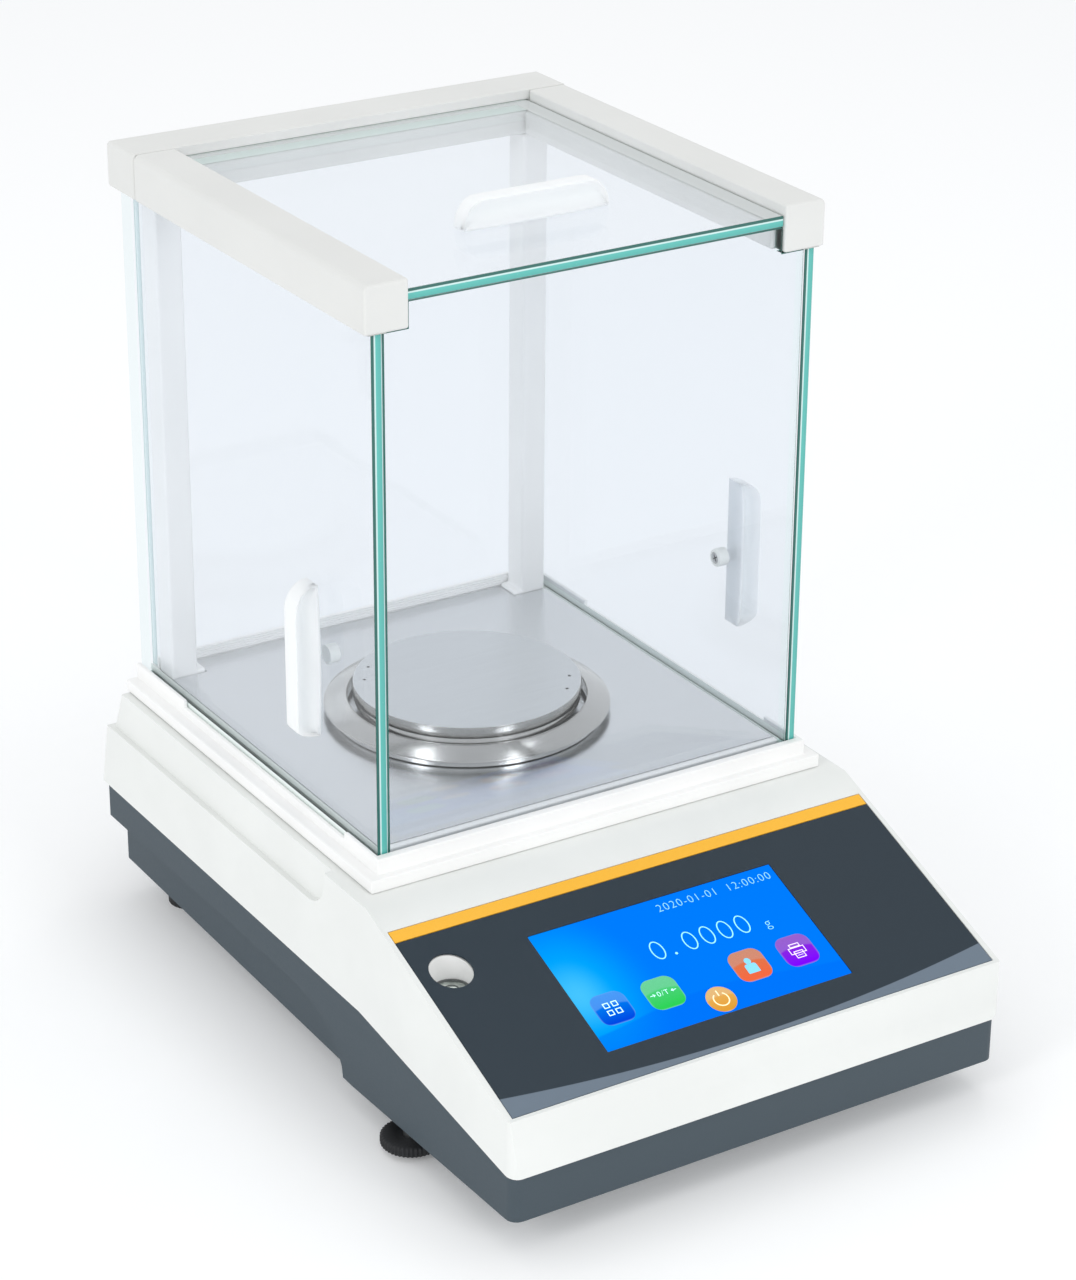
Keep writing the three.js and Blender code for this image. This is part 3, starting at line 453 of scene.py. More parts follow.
@dataclass(frozen=True)
class PaneEdge(Finish):
    """Ground edge of a pane: dark green at one face, a bright line that is a painted reflection, then teal; the
    greens are the glass's own tint.
    """

    axis: int
    start: float
    end: float
    dark: Colour = (0.02, 0.125, 0.105)
    bright: Colour = (0.62, 0.82, 0.8)
    teal: Colour = (0.105, 0.5, 0.45)
    through: Colour = (0.93, 0.975, 0.97)
    glow: float = 0.0

    def build(self, graph: Graph) -> bpy.types.Material:
        """Colour is a ramp across the thickness; seen from inside the pane the edge lets light through, and with
        a glow it shines pale instead, as painted light.
        """
        across = (graph.place()[self.axis] - self.start) / (self.end - self.start)
        # the bright stops are a painted reflection line inside the edge
        stops = [
            (0.0, self.dark), (0.24, self.dark), (0.29, self.bright), (0.38, self.bright),
            (0.45, self.teal), (1.0, tuple(0.85 * channel for channel in self.teal)),
        ]
        band = graph.node("ShaderNodeValToRGB", {"stops": stops}, {0: across})
        grain = graph.noise(800.0, 2.0)
        graph.feed(
            Base_Color=band,
            Roughness=0.2 + 0.1 * grain,
            Coat_Weight=0.2,
            Normal=graph.bump(grain, 0.00001, 0.3),
        )
        inside = graph.node("ShaderNodeNewGeometry", output="Backfacing")
        # Painted light: with a glow the edge seen from inside shines pale rather than letting light through.
        if self.glow:
            clear = graph.node("ShaderNodeEmission", {}, {"Color": self.through, "Strength": self.glow})
        else:
            clear = graph.node("ShaderNodeBsdfTransparent", {}, {"Color": self.through})
        ground = Wire(graph, graph.shader.outputs[0])
        return graph.show(graph.node("ShaderNodeMixShader", {}, {0: inside, 1: ground, 2: clear}))


# ---- Meshes ----------------------------------------------------------------------------------


@dataclass(frozen=True)
class Axes:
    """A place and three directions for flat shapes: u right, v up and w out of the face."""

    origin: Triple = (0.0, 0.0, 0.0)
    u: Triple = (1.0, 0.0, 0.0)
    v: Triple = (0.0, 1.0, 0.0)

    def lift(self, plan: Array, height: Array | float) -> Array:
        """Points of the plan (n, 2) at a height along w, in the row frame."""
        u, v = np.array(self.u), np.array(self.v)
        w = np.cross(u, v)
        tall = np.broadcast_to(np.asarray(height, float), plan.shape[:-1])
        return np.array(self.origin) + plan[..., :1] * u + plan[..., 1:] * v + tall[..., None] * w


FLOOR = Axes()


def mesh_object(name: str, points: Array, faces: Iterable[Sequence[int]], sharp: float = SHARP) -> Piece:
    """Makes a smooth-shaded object at the origin.

    Args:
        name: name of the piece.
        points: corners (n, 3) in metres.
        faces: corner numbers of each face, turning anticlockwise seen from outside.
        sharp: edges over this many degrees stay sharp.

    Returns:
        The new object, in the scene.
    """
    mesh = bpy.data.meshes.new(name)
    mesh.from_pydata(points.reshape(-1, 3), [], list(faces))
    mesh.update()
    mesh.shade_smooth()
    mesh.set_sharp_from_angle(angle=math.radians(sharp))
    made = bpy.data.objects.new(name, mesh)
    bpy.context.scene.collection.objects.link(made)
    return made


def merged(made: Piece, sharp: float = SHARP) -> Piece:
    """Welds coincident corners, such as the poles of a turned shape, and drops empty faces."""
    work = bmesh.new()
    work.from_mesh(made.data)
    bmesh.ops.remove_doubles(work, verts=work.verts, dist=1e-7)
    bmesh.ops.dissolve_degenerate(work, edges=work.edges, dist=1e-7)
    work.to_mesh(made.data)
    work.free()
    made.data.shade_smooth()
    made.data.set_sharp_from_angle(angle=math.radians(sharp))
    return made


def skin(
    name: str,
    grid: Array,
    wrap_rows: bool = False,
    caps: bool = False,
    sharp: float = SHARP,
) -> Piece:
    """A surface over a grid of points.

    Each quad joins a point to its right and upper neighbours, so rings run anticlockwise
    seen from the end that the rows climb towards.

    Args:
        name: name of the piece.
        grid: points (rows, columns, 3).
        wrap_rows: join the last row to the first; columns always join.
        caps: close the first and last row with flat faces.
        sharp: edges over this many degrees stay sharp.

    Returns:
        The new object.
    """
    rows, columns = grid.shape[:2]
    number = np.arange(rows * columns).reshape(rows, columns)
    right = np.roll(number, -1, axis=1)
    up, up_right = np.roll(number, -1, axis=0), np.roll(right, -1, axis=0)
    quads = np.stack([number, right, up_right, up], axis=-1)
    quads = quads[: rows if wrap_rows else rows - 1]
    faces = quads.reshape(-1, 4).tolist()
    if caps:
        faces += [number[0, ::-1].tolist(), number[-1].tolist()]
    return mesh_object(name, grid, faces, sharp)


def inset(outline: Array, distance: float) -> Array:
    """Moves each side of an anticlockwise outline inwards by the distance, mitring the corners."""
    side = np.roll(outline, -1, axis=0) - outline
    side = side / np.linalg.norm(side, axis=1, keepdims=True)
    inward = np.stack([-side[:, 1], side[:, 0]], axis=1)
    before = np.roll(inward, 1, axis=0)
    reach = 1.0 + (before * inward).sum(axis=1, keepdims=True)
    return outline + distance * (before + inward) / np.maximum(reach, 0.2)


def rounded(corners: Sequence[Triple], steps: int = 6) -> Array:
    """An outline whose corners (x, y, radius) are arcs tangent to both sides.

    Args:
        corners: anticlockwise or clockwise corners with a radius each; 0 keeps the corner.
        steps: pieces in each arc.

    Returns:
        Points (n, 2).
    """
    places = np.array([corner[:2] for corner in corners], float)
    points: list[Array] = []
    for index, corner in enumerate(corners):
        here = places[index]
        if corner[2] <= 0:
            points.append(here[None])
            continue
        back = places[index - 1] - here
        ahead = places[(index + 1) % len(places)] - here
        back, ahead = back / np.linalg.norm(back), ahead / np.linalg.norm(ahead)
        half = math.acos(float(np.clip(back @ ahead, -1, 1))) / 2
        centre = here + (back + ahead) / np.linalg.norm(back + ahead) * corner[2] / math.sin(half)
        start = here + back * corner[2] / math.tan(half) - centre
        end = here + ahead * corner[2] / math.tan(half) - centre
        sweep = math.atan2(start[0] * end[1] - start[1] * end[0], float(start @ end))
        turn = np.linspace(0.0, sweep, steps + 1)
        across = start[0] * np.cos(turn) - start[1] * np.sin(turn)
        upward = start[0] * np.sin(turn) + start[1] * np.cos(turn)
        points.append(centre + np.stack([across, upward], axis=1))
    return np.concatenate(points)


def oval(width: float, height: float, steps: int = 48, centre: Pair = (0.0, 0.0)) -> Array:
    """An ellipse, anticlockwise: centre + (width/2 cos t, height/2 sin t)."""
    turn = np.arange(steps) * TAU / steps
    return np.stack([centre[0] + width / 2 * np.cos(turn), centre[1] + height / 2 * np.sin(turn)], axis=1)


def prism(
    name: str, outline: Array, rings: Sequence[Pair], axes: Axes = FLOOR, sharp: float = SHARP
) -> Piece:
    """A flat shape with shaped edges: the outline inset and raised ring by ring, then capped.

    Args:
        name: name of the piece.
        outline: anticlockwise points (n, 2) in metres.
        rings: (inset, height) of each ring, from the bottom up, in metres.
        axes: where the outline lies.
        sharp: edges over this many degrees stay sharp.

    Returns:
        The new object, with a UV map over the outline's box.
    """
    grid = np.stack([axes.lift(inset(outline, gap), height) for gap, height in rings])
    made = skin(name, grid, caps=True, sharp=sharp)
    low, high = outline.min(axis=0), outline.max(axis=0)
    plan = np.concatenate([inset(outline, gap) for gap, _ in rings])
    spread = (plan - low) / (high - low)
    loops = np.empty(len(made.data.loops), np.int32)
    made.data.loops.foreach_get("vertex_index", loops)
    layer = made.data.uv_layers.new(name="UVMap")
    layer.data.foreach_set("uv", spread[loops].ravel())
    return made


def chamfered(thickness: float, edge: float, steps: int) -> list[Pair]:
    """Rings of a plate of that thickness whose two rims are rounded by quarter circles."""
    turn = np.linspace(0, math.pi / 2, steps + 1)
    low = [(edge * (1 - math.sin(t)), edge * (1 - math.cos(t))) for t in turn]
    high = [(gap, thickness - height) for gap, height in reversed(low)]
    return low + high


def stroke(
    name: str, path: Array, width: float, axes: Axes, low: float, high: float, closed: bool = False
) -> Piece:
    """A flat line of even width along a path of points (n, 2).

    Each point moves half the width to each side along the mean of its two segments' normals.

    Args:
        name: name of the piece.
        path: points in metres.
        width: width of the line.
        axes: where the path lies.
        low: height of its underside.
        high: height of its top.
        closed: join the ends.

    Returns:
        The new object.
    """
    if closed:
        tangent = np.roll(path, -1, axis=0) - np.roll(path, 1, axis=0)
    else:
        tangent = np.gradient(path, axis=0)
    tangent = tangent / np.linalg.norm(tangent, axis=1, keepdims=True)
    aside = np.stack([-tangent[:, 1], tangent[:, 0]], axis=1) * width / 2
    sides = [(path - aside, low), (path + aside, low), (path + aside, high), (path - aside, high)]
    grid = np.stack([axes.lift(points, height) for points, height in sides])
    return skin(name, np.swapaxes(grid, 0, 1), wrap_rows=closed, caps=not closed)


def turned(
    name: str, profile: Array, centre: Pair, segments: int, closed: bool = False, sharp: float = SHARP
) -> Piece:
    """A profile of (radius, z) turned about a vertical axis: (r cos t, r sin t, z).

    Args:
        name: name of the piece.
        profile: points (n, 2), from the bottom of the axis round the outside to the top of it.
        centre: x and y of the axis.
        segments: steps round the turn.
        closed: the profile is a loop that stays clear of the axis.
        sharp: edges over this many degrees stay sharp.

    Returns:
        The new object, with its poles welded.
    """
    turn = np.arange(segments) * TAU / segments
    radius, height = profile[:, 0:1], profile[:, 1:2]
    x, y = centre[0] + radius * np.cos(turn), centre[1] + radius * np.sin(turn)
    grid = np.stack([x, y, height + 0 * turn], axis=-1)
    return merged(skin(name, grid, wrap_rows=closed, sharp=sharp), sharp)


def softened(node: str, width: float, segments: int = 3, angle: float = 28.0) -> Piece:
    """A welded copy of a CAD node with its sharp edges rounded by a Bevel modifier.

    Args:
        node: name of the CAD node; the copy is named after it.
        width: width of the rounding.
        segments: steps across the rounding.
        angle: edges over this many degrees are rounded.

    Returns:
        The copy, in the scene.
    """
    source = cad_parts[node]
    made = bpy.data.objects.new(f"{node}_form", source.data.copy())
    made.data.materials.clear()
    bpy.context.scene.collection.objects.link(made)
    work = bmesh.new()
    work.from_mesh(made.data)
    bmesh.ops.remove_doubles(work, verts=work.verts, dist=2e-6)
    flat = math.radians(0.6)
    bmesh.ops.dissolve_limit(work, angle_limit=flat, verts=work.verts, edges=work.edges)
    work.to_mesh(made.data)
    work.free()
    for layer in list(made.data.uv_layers):
        made.data.uv_layers.remove(layer)
    if made.data.has_custom_normals:
        made.data.attributes.remove(made.data.attributes["custom_normal"])
    made.data.shade_smooth()
    made.data.set_sharp_from_angle(angle=math.radians(40))
    bevel = made.modifiers.new("Rounding", "BEVEL")
    bevel.width = width
    bevel.segments = segments
    bevel.limit_method = "ANGLE"
    bevel.angle_limit = math.radians(angle)
    bevel.harden_normals = True
    bevel.use_clamp_overlap = True
    return made


def lettering(
    name: str, text: str, height: float, axes: Axes, place: Pair, low: float, thin: float
) -> Piece:
    """Generic lettering as a flat mesh, its lower left corner at the place.

    Args:
        name: name of the piece.
        text: what it says.
        height: height of a capital or digit.
        axes: the face it lies on.
        place: lower left corner on that face.
        low: height above the face.
        thin: how much the strokes are drawn in.

    Returns:
        The new object.
    """
    curve = bpy.data.curves.new(name, "FONT")
    curve.body = text
    curve.size = height / 0.72
    curve.offset = -thin
    curve.extrude = LEAF
    curve.space_character = 1.16
    holder = bpy.data.objects.new(name, curve)
    bpy.context.scene.collection.objects.link(holder)
    bpy.context.view_layer.update()
    graph = bpy.context.evaluated_depsgraph_get()
    shape = bpy.data.meshes.new_from_object(holder.evaluated_get(graph))
    bpy.data.objects.remove(holder)
    points = np.empty(len(shape.vertices) * 3)
    shape.vertices.foreach_get("co", points)
    points = points.reshape(-1, 3)
    placed = axes.lift(points[:, :2] + np.array(place), points[:, 2] + low + LEAF)
    shape.vertices.foreach_set("co", placed.ravel())
    shape.materials.clear()
    made = bpy.data.objects.new(name, shape)
    bpy.context.scene.collection.objects.link(made)
    return made


def dress(made: Piece, body: str, finish: Finish, node: str | None = None) -> Piece:
    """Gives a piece its finish and its body, and hides the CAD node it stands for.

    Args:
        made: the piece.
        body: CAD body it moves with.
        finish: finish of its surface.
        node: CAD node it replaces.

    Returns:
        The piece.
    """
    if not made.data.materials:
        made.data.materials.append(finish.material())
    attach(made, body)
    if node:
        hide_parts(node)
    log.info("%s on %s: %d faces", made.name, body, len(made.data.polygons))
    return made


def round_off(node: str, width: float, segments: int, finish: Finish) -> None:
    """Puts a softened copy of one of the base's nodes in that node's place."""
    dress(softened(node, width, segments), "base", finish, node)


def repaint(nodes: Iterable[str], finish: Finish) -> None:
    """Gives CAD nodes that are shown as they are a finish."""
    for node in nodes:
        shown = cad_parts[node].data
        shown.materials.clear()
        shown.materials.append(finish.material())
        log.info("%s keeps its CAD shape", node)


def circle(centre: Pair, radius: Array | float, turn: Array, height: Array | float) -> Array:
    """Points (n, 3) round a vertical axis: (r cos t, r sin t, z)."""
    x, y = centre[0] + radius * np.cos(turn), centre[1] + radius * np.sin(turn)
    return np.stack([x, y, height + 0 * turn], axis=1)


def pair(point: Array) -> Pair:
    """The first two numbers of a point, as plain numbers."""
    return float(point[0]), float(point[1])


def box_of(node: str) -> tuple[Array, Array]:
    """Lowest and highest corner of a CAD node, as arrays in metres."""
    low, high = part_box(node)
    return np.array(low), np.array(high)


# ---- Sub-assemblies --------------------------------------------------------------------------


class Side(Enum):
    """The two sides of the balance."""

    LEFT = -1
    RIGHT = 1

    def node(self, rest: str) -> str:
        """Name of this side's node."""
        return f"{self.name.lower()}_{rest}"


WHITE = Moulding((0.82, 0.835, 0.815))
# A darker copy of the white moulding for the top rails: painted shade for the dimmer light on their tops.
RAIL_PAINTED_SHADE = Moulding((0.735, 0.74, 0.722))
# A lighter copy of the white moulding for pieces inside the draft shield: painted light in place of the shade
# that falls there.
INNER_PAINTED_LIGHT = Moulding((0.93, 0.93, 0.92))
MILKY = Milky()
CHASSIS = Paint()
BLACK = Rubber()
ZINC = Brushed((0.5, 0.51, 0.52), 0.35, (300.0, 300.0, 300.0))
SCREW = Brushed((0.6, 0.61, 0.62), 0.4, (600.0, 600.0, 600.0))
CELL = Brushed((0.55, 0.56, 0.57), 0.38, (300.0, 20.0, 300.0))
DIMPLE = Brushed((0.3, 0.31, 0.32), 0.5, (300.0, 300.0, 300.0))
PLATE = Brushed((0.72, 0.735, 0.75), 0.26, (14.0, 900.0, 900.0), 0.03)
PAN_TOP = Brushed((0.66, 0.68, 0.695), 0.3, (30.0, 500.0, 500.0))
BOARD = Paint((0.014, 0.1, 0.04), 0.5)
STRIPE = Print((0.96, 0.5, 0.045))
AMBER = Print((1.0, 0.86, 0.55), 0.35)
# Grey of the vial's rim: painted shade for the shadow at the vial's edge, on a real rim.
VIAL_RIM = Rubber((0.16, 0.17, 0.17), 0.35)
# The bubble glows faintly: painted light.
BUBBLE = Print((0.78, 0.84, 0.8), 0.1, 0.1)


@dataclass
class Base:
    """Housing, chassis and what the console's slope carries."""

    round_housing: float = 1.5 * MM
    round_chassis: float = 1.2 * MM

    def build(self) -> None:
        """Rounds the two shells and finishes the inner pieces."""
        film = 0.15 * MM
        round_off("upper_housing", self.round_housing, 4, WHITE)
        round_off("lower_chassis", self.round_chassis, 3, CHASSIS)
        round_off("console_overlay", film, 2, Film())
        round_off("accent_stripe", film, 2, STRIPE)
        repaint(["display_module", "rear_panel", "power_socket"], BLACK)
        repaint(["main_board"], BOARD)
        repaint(["load_receiver", "load_cell", "cell_base"], CELL)
        repaint(["serial_port"], ZINC)
        sides = [side.name.lower() for side in Side]
        repaint([f"chassis_screw_{end}_{side}" for end in ("front", "rear") for side in sides], ZINC)
        repaint(["left_rear_foot", "right_rear_foot"], BLACK)


@dataclass
class Screen:
    """Touch screen: blue glass with a weight readout, a clock and five icons."""

    slope: float = SLOPE
    film: float = 0.8 * MM
    lift: float = 0.03 * MM

    def __post_init__(self) -> None:
        """Works out the screen's face from its CAD box."""
        low, high = box_of("touch_screen")
        self.width = float(high[0] - low[0])
        front = np.array([low[1], low[2] + self.film * math.cos(self.slope)])
        rear = np.array([high[1] - self.film * math.sin(self.slope), high[2]])
        self.length = float(np.linalg.norm(rear - front))
        uphill = (0.0, math.cos(self.slope), math.sin(self.slope))
        self.axes = Axes((float(low[0]), *pair(rear)), (1.0, 0.0, 0.0), uphill)

    def spot(self, across: float, down: float) -> Array:
        """A place on the screen from its shares across and down."""
        return np.array([across * self.width, -down * self.length])

    def lay(self, made: Piece, finish: Finish) -> None:
        """Puts one drawn shape on the screen."""
        dress(made, "base", finish)

    def line(self, name: str, path: Array, width: float, low: float, ink: Finish, closed: bool = False) -> None:
        """Draws one line on the screen, as thick as the screen's lift."""
        self.lay(stroke(name, path, width, self.axes, low, low + self.lift, closed), ink)

    def flat(self, name: str, outline: Array, low: float, ink: Finish) -> None:
        """Draws one filled shape on the screen, as thick as the screen's lift."""
        self.lay(prism(name, outline, [(0, low), (0, low + self.lift)], self.axes), ink)

    def build(self) -> None:
        """Glass first, then what it shows."""
        outline = np.array([(0, -self.length), (self.width, -self.length), (self.width, 0), (0, 0)])
        rings = [(0.0, -self.film), (0.0, -0.05 * MM), (0.05 * MM, 0.0)]
        glass = prism("touch_screen_face", outline, rings, self.axes)
        dress(glass, "base", ScreenGlow(), "touch_screen")
        self.readout()
        self.clock()
        self.icons()

    def readout(self) -> None:
        """0.0000 g: each zero is a ring along an ellipse."""
        ink = Print((0.32, 0.8, 0.95), 0.4)
        for index, across in enumerate([0.398, 0.531, 0.604, 0.677, 0.750]):
            ring = oval(4.9 * MM, 8.3 * MM, 48, pair(self.spot(across, 0.392)))
            self.line(f"readout_zero_{index}", ring, 0.46 * MM, 0.0, ink, True)
        dot = oval(1.1 * MM, 1.1 * MM, 24, pair(self.spot(0.455, 0.456)))
        self.flat("readout_point", dot, 0.0, ink)
        unit = pair(self.spot(0.828, 0.474))
        self.lay(lettering("readout_unit", "g", 4.4 * MM, self.axes, unit, 0.0, 0.12 * MM), ink)

    def clock(self) -> None:
        """A neutral date and time along the top."""
        place = pair(self.spot(0.497, 0.112))
        said = "2020-01-01  12:00:00"
        text = lettering("clock_line", said, 3.6 * MM, self.axes, place, 0.0, 0.09 * MM)
        self.lay(text, Print((0.3, 0.72, 0.9), 0.3))

    def tile(
        self, name: str, across: float, down: float, low: Colour, high: Colour, round_one: bool = False
    ) -> Array:
        """A rounded button with a pale rim and a glossy upper half. Returns its centre."""
        centre = self.spot(across, down)
        if round_one:
            outline = oval(11.8 * MM, 11.8 * MM, 64, pair(centre))
        else:
            half, radius = 7.2 * MM, 4.2 * MM
            corners = [(-half, -half), (half, -half), (half, half), (-half, half)]
            outline = rounded([(centre[0] + x, centre[1] + y, radius) for x, y in corners], 8)
        rings = [(0.0, 0.0), (0.0, self.lift), (0.1 * MM, 1.5 * self.lift)]
        self.lay(prism(f"{name}_button", outline, rings, self.axes), Button(low, high))
        return centre

    def icons(self) -> None:
        """Menu, zero and tare, power, user and printer."""
        ink = Print((0.62, 0.9, 1.0), 0.55)
        top = 2 * self.lift
        self.menu(self.tile("menu", 0.112, 0.708, (0.0, 0.05, 0.72), (0.0, 0.26, 0.9)), top, ink)
        self.tare(self.tile("tare", 0.314, 0.713, (0.02, 0.62, 0.08), (0.10, 0.62, 0.25)), top, ink)
        self.power(self.tile("power", 0.492, 0.891, (0.75, 0.33, 0.03), (0.82, 0.46, 0.12), True), top)
        self.user(self.tile("user", 0.673, 0.711, (0.9, 0.13, 0.05), (0.62, 0.2, 0.08)), top)
        self.printer(self.tile("printer", 0.872, 0.713, (0.2, 0.0, 1.0), (0.27, 0.03, 0.55)), top)

    def menu(self, centre: Array, low: float, ink: Finish) -> None:
        """Four small squares."""
        pitch, half = 1.75 * MM, 1.2 * MM
        square = np.array([(-half, -half), (half, -half), (half, half), (-half, half)])
        for row in (-1, 1):
            for column in (-1, 1):
                ring = centre + pitch * np.array([column, row]) + square
                self.frame_line(f"menu_square_{row}_{column}", ring, 0.35 * MM, low, ink)

    def tare(self, centre: Array, low: float, ink: Finish) -> None:
        """Zero and tare between two arrows that point inwards."""
        spot = pair(centre - np.array([2.7 * MM, 1.1 * MM]))
        self.lay(lettering("tare_mark", "0/T", 2.35 * MM, self.axes, spot, low, 0.05 * MM), ink)
        for side in (-1, 1):
            middle = centre + np.array([side * 4.5 * MM, 0.0])
            shaft = middle + MM * np.array([(-1.0, 0.0), (1.0, 0.0)])
            self.line(f"tare_shaft_{side}", shaft, 0.26 * MM, low, ink)
            head = middle + MM * np.array([(-0.25 * side, -0.55), (-1.05 * side, 0.0), (-0.25 * side, 0.55)])
            self.line(f"tare_head_{side}", head, 0.3 * MM, low, ink)

    def power(self, centre: Array, low: float) -> None:
        """An open ring with a bar through its gap."""
        turn = np.linspace(math.radians(125), math.radians(415), 40)
        arc = centre + 3.0 * MM * np.stack([np.cos(turn), np.sin(turn)], axis=1)
        self.line("power_ring", arc, 0.5 * MM, low, AMBER)
        self.line("power_bar", centre + MM * np.array([(0.0, 1.6), (0.0, 4.2)]), 0.5 * MM, low, AMBER)

    def user(self, centre: Array, low: float) -> None:
        """Head and shoulders."""
        ink = Print((0.22, 0.6, 0.82), 0.35)
        head = oval(2.7 * MM, 3.0 * MM, 32, (float(centre[0]), float(centre[1] + 1.9 * MM)))
        self.flat("user_head", head, low, ink)
        half, foot, top = 2.5 * MM, -3.8 * MM, 0.6 * MM
        corners = [(-half, foot, 0.3 * MM), (half, foot, 0.3 * MM), (half, top, 1.1 * MM), (-half, top, 1.1 * MM)]
        body = rounded([(centre[0] + x, centre[1] + y, radius) for x, y, radius in corners], 6)
        self.flat("user_body", body, low, ink)

    def printer(self, centre: Array, low: float) -> None:
        """Outline of a printer with paper above and below."""
        ink = Print((0.85, 0.75, 1.0), 0.5)
        boxes = {"case": (-3.4, -1.5, 3.4, 1.6), "paper": (-2.0, -3.6, 2.0, -0.2), "feed": (-2.2, 1.6, 2.2, 3.3)}
        for name, (x0, y0, x1, y1) in boxes.items():
            ring = centre + MM * np.array([(x0, y0), (x1, y0), (x1, y1), (x0, y1)])
            self.frame_line(f"printer_{name}", ring, 0.32 * MM, low, ink)
        for row in (-1.3, -2.3):
            path = centre + MM * np.array([(-1.2, row), (1.2, row)])
            self.line(f"printer_row_{-row:.0f}", path, 0.22 * MM, low, ink)

    def frame_line(self, name: str, ring: Array, width: float, low: float, ink: Finish) -> None:
        """A line frame: its outline and the same outline inset, joined."""
        inner, high = inset(ring, width), low + self.lift
        layers = [(ring, low), (ring, high), (inner, high), (inner, low)]
        grid = np.stack([self.axes.lift(points, height) for points, height in layers])
        self.lay(skin(name, grid, wrap_rows=True), ink)


@dataclass(frozen=True)
class ScreenGlow(Finish):
    """Lit blue glass: a cyan glow at the lower left and darker waves along the bottom."""

    left: float = -0.0568
    width: float = 0.1059
    rear: float = -0.0896
    depth: float = 0.0535

    def build(self, graph: Graph) -> bpy.types.Material:
        """Glow falls with distance from a spot; the wave's edge is a sine across the width."""
        x, y, _ = graph.place()
        across = (x - self.left) / self.width
        down = (self.rear - y) / self.depth
        spread = ((across * 1.9 - 0.06) ** 2.0 + (down * 0.8 - 0.44) ** 2.0) ** 0.5
        glow = 1.0 - spread.step(0.0, 0.62)
        blue = graph.mix(glow, (0.0, 0.205, 1.0), (0.0, 0.47, 1.0))
        core = 1.0 - spread.step(0.0, 0.26)
        blue = graph.mix(core * 0.3, blue, (0.2, 0.78, 1.0))
        edge = 0.84 + 0.055 * (across * 5.2 + 2.2).wave()
        wave = (down - edge).step(-0.012, 0.012)
        colour = graph.mix(wave * 0.5, blue, (0.0, 0.16, 0.98))
        dust = graph.noise(900.0, 3.0)
        return graph.feed(
            Base_Color=graph.mix(0.95, colour, (0.0, 0.0, 0.0)),
            Emission_Color=colour,
            Emission_Strength=0.95,
            Roughness=0.12 + 0.05 * dust,
            Specular_IOR_Level=0.0,
        )


@dataclass(frozen=True)
class Button(Finish):
    """Glossy touch button: colour low down, a paler cap over the upper half and a pale rim."""

    low: Colour
    high: Colour

    def build(self, graph: Graph) -> bpy.types.Material:
        """The cap's lower edge is an arc in the button's own UV map."""
        point = graph.node("ShaderNodeUVMap", {"uv_map": "UVMap"})
        u = graph.node("ShaderNodeSeparateXYZ", {}, {0: point}, 0) - 0.5
        v = graph.node("ShaderNodeSeparateXYZ", {}, {0: point}, 1) - 0.5
        arc = v - 0.12 + u * u * 0.35
        cap = arc.step(-0.02, 0.05)
        rim = (abs(u) ** 5.0 + abs(v) ** 5.0).step(0.019, 0.03)
        pale = tuple(0.8 * c + 0.2 * w for c, w in zip(self.high, (0.55, 0.75, 0.85)))
        body = graph.mix((v + 0.5), self.low, self.high)
        body = graph.mix(cap * 0.6, body, pale)
        body = graph.mix(rim * 0.8, body, pale)
        return graph.feed(
            Base_Color=graph.mix(0.8, body, (0.0, 0.0, 0.0)),
            Emission_Color=body,
            Emission_Strength=0.85,
            Roughness=0.2,
            Specular_IOR_Level=0.0,
        )


@dataclass
class Glass:
    """One pane: clear faces, and ground edges banded green, a white line that is a painted reflection, and teal.
    """

    node: str
    body: str
    across: int
    outward: int = -1
    grip: tuple[int, float, float] = (2, -1.0, -1.0)
    pale: bool = False
    glow: float = 0.0
    edge: float = 0.35 * MM

    def outline(self, low: Array, high: Array) -> Array:
        """The pane's rectangle in its own plane, anticlockwise seen along the outward side."""
        first, second = self.plane()
        (x0, y0), (x1, y1) = low[[first, second]], high[[first, second]]
        return np.array([(x0, y0), (x1, y0), (x1, y1), (x0, y1)])

    def plane(self) -> tuple[int, int]:
        """The two axes that the pane lies in, in an order whose cross product is the third."""
        return ((1, 2), (2, 0), (0, 1))[self.across]

    def build(self) -> None:
        """Plate with rounded arrises; the flat faces take the clear finish."""
        low, high = box_of(self.node)
        first, second = self.plane()
        origin = np.zeros(3)
        origin[self.across] = low[self.across]
        u, v = np.eye(3)[first], np.eye(3)[second]
        thickness = float(high[self.across] - low[self.across])
        axes = Axes(tuple(origin), tuple(u), tuple(v))
        rings = chamfered(thickness, self.edge, 2)
        made = prism(f"{self.node}_plate", self.outline(low, high), rings, axes, sharp=12.0)
        start, end = float(low[self.across]), float(high[self.across])
        if self.outward > 0:
            start, end = end, start
        bands = ((0.42, 0.6, 0.6), (0.8, 0.88, 0.88), (0.66, 0.8, 0.81)) if self.pale else ()
        edge = PaneEdge(self.across, start, end, *bands, glow=self.glow)
        made.data.materials.append(Pane(*self.grip).material())
        made.data.materials.append(edge.material())
        normals = np.empty(len(made.data.polygons) * 3)
        made.data.polygons.foreach_get("normal", normals)
        facing = np.abs(normals.reshape(-1, 3)[:, self.across]) > 0.98
        made.data.polygons.foreach_set("material_index", (~facing).astype(np.int32))
        dress(made, self.body, Pane(), self.node)


@dataclass
class FrontGlass(Glass):
    """The fixed front pane, whose top corners are cut round the rails."""

    node: str = "front_glass"
    body: str = "base"
    across: int = 1

    def outline(self, low: Array, high: Array) -> Array:
        """Seen from +y: z runs first and x second, with a notch at each top corner."""
        shoulder = float(box_of("right_top_rail")[0][2]) - 0.3 * MM
        neck = float(box_of("top_door_glass")[1][0])
        half = float(high[0])
        foot, top = float(low[2]), float(high[2])
        return np.array(
            [
                (foot, -half), (shoulder, -half), (shoulder, -neck), (top, -neck),
                (top, neck), (shoulder, neck), (shoulder, half), (foot, half),
            ]
        )


